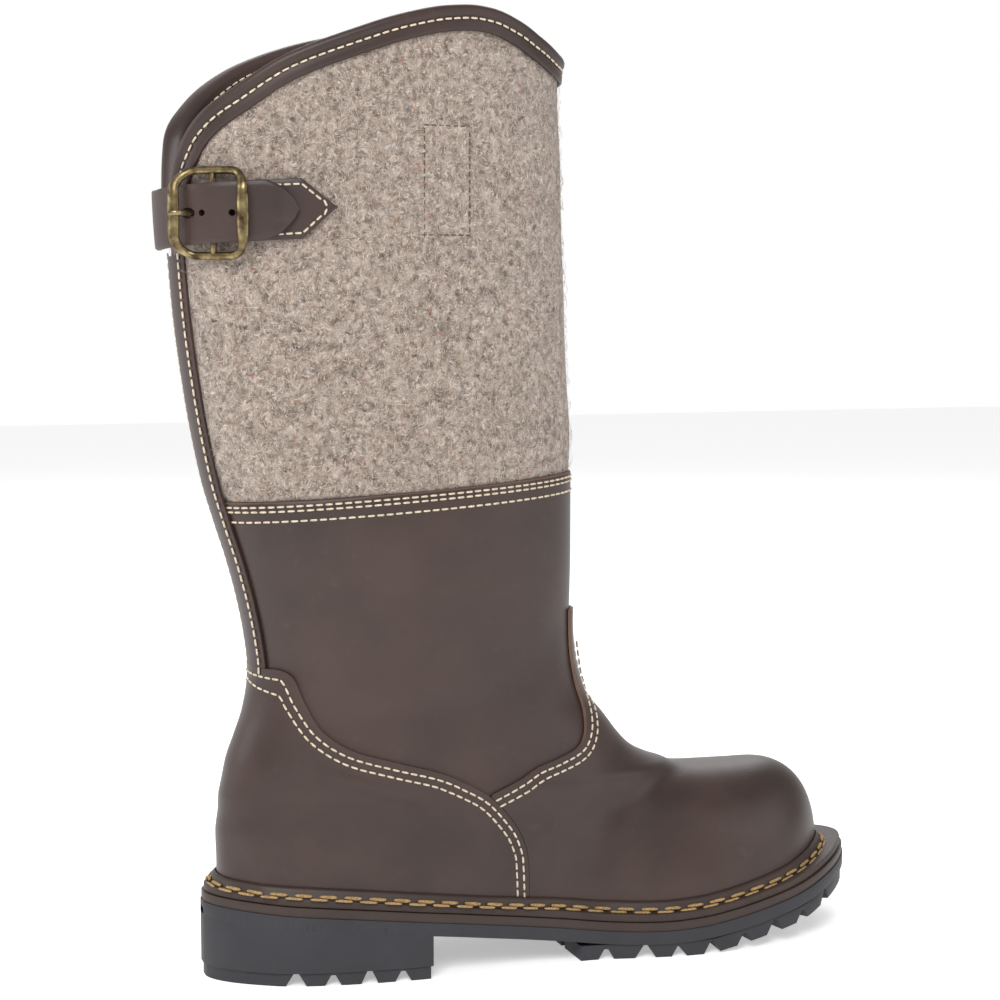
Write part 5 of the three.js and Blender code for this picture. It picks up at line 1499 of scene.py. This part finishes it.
class BOOT_OT_strap(bpy.types.Operator):
    """Strap, its tab and the brass buckle"""

    bl_idname = "boot.strap"
    bl_label = "Strap and buckle"

    def execute(self, context):
        stand = smooth_curve(STRAP_STAND)
        tip, end = STRAP_STAND[0][0], STRAP_STAND[-1][0]
        rounded = tip + STRAP_TIP_ROUND * np.linspace(0, 1, 22) ** 1.6
        turns = np.concatenate([rounded, np.linspace(tip + STRAP_TIP_ROUND, end, 150)[1:]])
        tip_share = np.clip((tip + STRAP_TIP_ROUND - turns) / STRAP_TIP_ROUND, 0, 1)
        end_share = np.clip((turns - end + STRAP_TIP_ROUND / 2) / (STRAP_TIP_ROUND / 2), 0, 1)
        half = STRAP_WIDTH / 2 * np.maximum(1 - tip_share ** 1.8, 0.006) ** 0.72 * (1 - 0.55 * end_share ** 2)
        strap = band_piece("buckle_strap_dressed", turns, half, stand(turns), STRAP_THICKNESS)
        centre, across, out = buckle_axes()
        place = lambda a, u, o: centre + across * a + out * o + np.array([0, 0, u])
        holes = []
        around = np.linspace(0, 2 * math.pi, 15)[:-1]
        for a in STRAP_HOLES:
            high = PRONG_HOLE if a == STRAP_HOLES[0] else STRAP_HOLE
            long = high * 1.6 if a == STRAP_HOLES[0] else high
            ring = lambda o: [place(a + math.cos(t) * long, math.sin(t) * high, o) for t in around]
            holes.append(loop_piece("hole", [ring(1.5), ring(13.0)], capped=True))
        cut_out(strap, holes)
        smooth_by_angle(strap, 45)
        settled(strap, "buckle_strap", "strap_leather")
        start, point, tab_tip = TAB_TURNS["start"], TAB_TURNS["point"], TAB_TURNS["tip"]
        turns = np.concatenate([np.linspace(tab_tip, point, 16), np.linspace(point, start, 50)[1:]])
        half = STRAP_WIDTH / 2 * np.maximum(1 - np.clip((point - turns) / (point - tab_tip), 0, 1), 0.05)
        tab = band_piece("buckle_tab_dressed", turns, half, np.full(len(turns), JOIN_GAP), TAB_THICKNESS)
        smooth_by_angle(tab, 45)
        settled(tab, "buckle_tab", "strap_leather")
        inner = np.maximum(half - TAB_ROW_INSET, 0)
        kept = turns > tab_tip + 0.018
        surface = np.full(kept.sum(), JOIN_GAP + TAB_THICKNESS + 0.15)
        lower = band_points(turns[kept], -inner[kept], surface)
        upper = band_points(turns[kept], inner[kept], surface)
        fine_stitches("tab_stitches", [np.concatenate([lower[::-1], upper])], "buckle_tab", 0.9)
        sewn = np.linspace(*SEWN_TURNS, 20)
        face = stand(sewn) + STRAP_THICKNESS + 0.15
        heights = (-SEWN_HALF_WIDTH, SEWN_HALF_WIDTH)
        ends = [band_points(sewn, np.full(len(sewn), high), face) for high in heights]
        ends.append(np.concatenate([ends[0][:1], ends[1][:1]]))
        fine_stitches("strap_end_stitches", ends, "buckle_strap")
        self.frame(place)
        self.prong(place)
        return {"FINISHED"}

    def frame(self, place):
        half_a, half_u = (BUCKLE_WIDTH - BUCKLE_BAR) / 2, (BUCKLE_HEIGHT - BUCKLE_BAR) / 2
        level = BUCKLE_LEVEL
        corner = BUCKLE_CORNER
        outline = []
        for a, u, start in ((1, 1, 0.0), (-1, 1, 0.5), (-1, -1, 1.0), (1, -1, 1.5)):
            for t in np.linspace(start, start + 0.5, 15):
                angle = t * math.pi
                corner_a, corner_u = a * (half_a - corner), u * (half_u - corner)
                outline.append((corner_a + math.cos(angle) * corner, corner_u + math.sin(angle) * corner))
        outline = np.array(outline + outline[:1])
        length = running_length(outline)
        even = np.linspace(0, length[-1], 121)[:-1]
        path = np.stack([np.interp(even, length, outline[:, k]) for k in (0, 1)], axis=-1)
        along = np.roll(path, -1, axis=0) - np.roll(path, 1, axis=0)
        along /= np.linalg.norm(along, axis=1, keepdims=True)
        loops = []
        for (a, u), (da, du) in zip(path, along):
            level_here = level + BUCKLE_BOW * (1 - (u / half_u) ** 8) * (abs(a) / half_a) ** 3
            sideways = min(max((abs(a) - half_a + corner) / corner, 0), 1)
            broad = 1 + BAR_SWELL * sideways * (1 - (u / half_u) ** 2)
            loop = []
            for t in np.linspace(0, 2 * math.pi, 17)[:-1]:
                wide, deep = math.cos(t) * BUCKLE_BAR * broad / 2, math.sin(t) * BUCKLE_BAR_DEPTH / 2
                loop.append(place(a + du * wide, u - da * wide, level_here + deep))
            loops.append(loop)
        frame_piece = loop_piece("buckle_frame_dressed", loops)
        radius = CENTRE_BAR / 2
        around = np.linspace(0, 2 * math.pi, 15)[:-1]
        bar = [
            [place(math.cos(t) * radius, s * half_u, level + math.sin(t) * radius) for t in around]
            for s in np.linspace(-1, 1, 9)
        ]
        bar_piece = loop_piece("bar", bar, capped=True)
        work = bmesh.new()
        for part in (frame_piece, bar_piece):
            work.from_mesh(part.data)
        work.to_mesh(frame_piece.data)
        work.free()
        bpy.data.objects.remove(bar_piece)
        settled(frame_piece, "buckle_frame", "antique_brass")

    def prong(self, place):
        level = BUCKLE_LEVEL
        top = level + BUCKLE_BOW + BUCKLE_BAR_DEPTH / 2 + PRONG / 2 + JOIN_GAP
        edge = -(BUCKLE_WIDTH - BUCKLE_BAR) / 2
        knots = [(-2.8, level), (-7.2, level), (-11.8, top - 0.6), (edge - 1, top)]
        a = np.linspace(knots[0][0], knots[-1][0], 26)
        rise = np.interp(-a, [-k[0] for k in knots], [k[1] for k in knots])
        rise = np.convolve(np.pad(rise, 2, mode="edge"), np.ones(5) / 5, mode="valid")
        loops = []
        around = np.linspace(0, 2 * math.pi, 13)[:-1]
        for i, (here, o) in enumerate(zip(a, rise)):
            radius = PRONG / 2 * (1 if i < 22 else math.sqrt(max(1 - ((i - 21) / 4.4) ** 2, 0.05)))
            loops.append([place(here, math.cos(t) * radius, o + math.sin(t) * radius * 0.9) for t in around])
        prong = loop_piece("buckle_prong_dressed", loops, capped=True)
        settled(prong, "buckle_prong", "antique_brass")


class BOOT_OT_stage(bpy.types.Operator):
    """Camera, soft lights and pale floor"""

    bl_idname = "boot.stage"
    bl_label = "Stage"

    def execute(self, context):
        scene = context.scene
        pitch, turn = CAMERA_PITCH, CAMERA_TURN
        data = bpy.data.cameras.new("camera")
        data.lens = CAMERA_LENS
        data.sensor_width = 36
        data.shift_x = CAMERA_SHIFT
        data.clip_end = 20
        camera = bpy.data.objects.new("camera", data)
        scene.collection.objects.link(camera)
        camera.location = (CAMERA_PLACE - CENTRE) / 1000
        forward = Vector((math.sin(turn) * math.cos(pitch), math.cos(turn) * math.cos(pitch), -math.sin(pitch)))
        camera.rotation_mode = "QUATERNION"
        camera.rotation_quaternion = forward.to_track_quat("-Z", "Y")
        scene.camera = camera
        for name, place, size, power in LIGHTS:
            light = bpy.data.lights.new(name, "AREA")
            light.energy, light.size = power, size
            lamp = bpy.data.objects.new(name, light)
            scene.collection.objects.link(lamp)
            lamp.location = place
            lamp.rotation_mode = "QUATERNION"
            lamp.rotation_quaternion = (Vector((0, 0, 0.2)) - Vector(place)).to_track_quat("-Z", "Y")
        world = bpy.data.worlds.new("studio")
        scene.world = world
        world.use_nodes = True
        tree = world.node_tree
        place = add(tree, "ShaderNodeTexCoord")
        split = add(tree, "ShaderNodeSeparateXYZ", {"Vector": place.outputs["Generated"]})
        shade = ramp(tree, split.outputs["Y"], [(0.35, (0.42, 0.42, 0.43)), (0.72, (1.0, 1.0, 1.0))])
        tree.links.new(shade.outputs["Color"], tree.nodes["Background"].inputs["Color"])
        tree.nodes["Background"].inputs["Strength"].default_value = 1.0
        mesh = bpy.data.meshes.new("floor")
        corners = [(x * FLOOR_HALF, y * FLOOR_HALF, 0) for x, y in ((-1, -1), (1, -1), (1, 1), (-1, 1))]
        mesh.from_pydata(corners, [], [(0, 1, 2, 3)])
        floor = bpy.data.objects.new("floor", mesh)
        scene.collection.objects.link(floor)
        material, tree, paper = new_material("pale_floor")
        paper.inputs["Base Color"].default_value = (0.93, 0.93, 0.93, 1)
        paper.inputs["Roughness"].default_value = 0.9
        paper.inputs["Emission Color"].default_value = (1, 1, 1, 1)
        paper.inputs["Emission Strength"].default_value = 0.4
        mesh.materials.append(material)
        scene.view_settings.view_transform = "Standard"
        return {"FINISHED"}


class BOOT_PT_panel(bpy.types.Panel):
    bl_label = "Felt boot"
    bl_idname = "BOOT_PT_panel"
    bl_space_type = "VIEW_3D"
    bl_region_type = "UI"
    bl_category = "Boot"

    def draw(self, context):
        for group in (context.scene.boot_sizes, context.scene.boot_colours):
            for name in group.__annotations__:
                self.layout.prop(group, name)
        for operator in STEPS:
            self.layout.operator(operator.bl_idname)


STEPS = (
    BOOT_OT_stage, BOOT_OT_sole, BOOT_OT_welt, BOOT_OT_insole,
    BOOT_OT_upper, BOOT_OT_leg, BOOT_OT_seams, BOOT_OT_strap,
)
CLASSES = (BootSizes, BootColours, *STEPS, BOOT_PT_panel)


def register():
    for item in CLASSES:
        bpy.utils.register_class(item)
    bpy.types.Scene.boot_sizes = bpy.props.PointerProperty(type=BootSizes)
    bpy.types.Scene.boot_colours = bpy.props.PointerProperty(type=BootColours)


def unregister():
    del bpy.types.Scene.boot_colours
    del bpy.types.Scene.boot_sizes
    for item in reversed(CLASSES):
        bpy.utils.unregister_class(item)


def main():
    register()
    for step in STEPS:
        getattr(bpy.ops.boot, step.bl_idname.split(".")[1])()


if __name__ == "__main__":
    main()
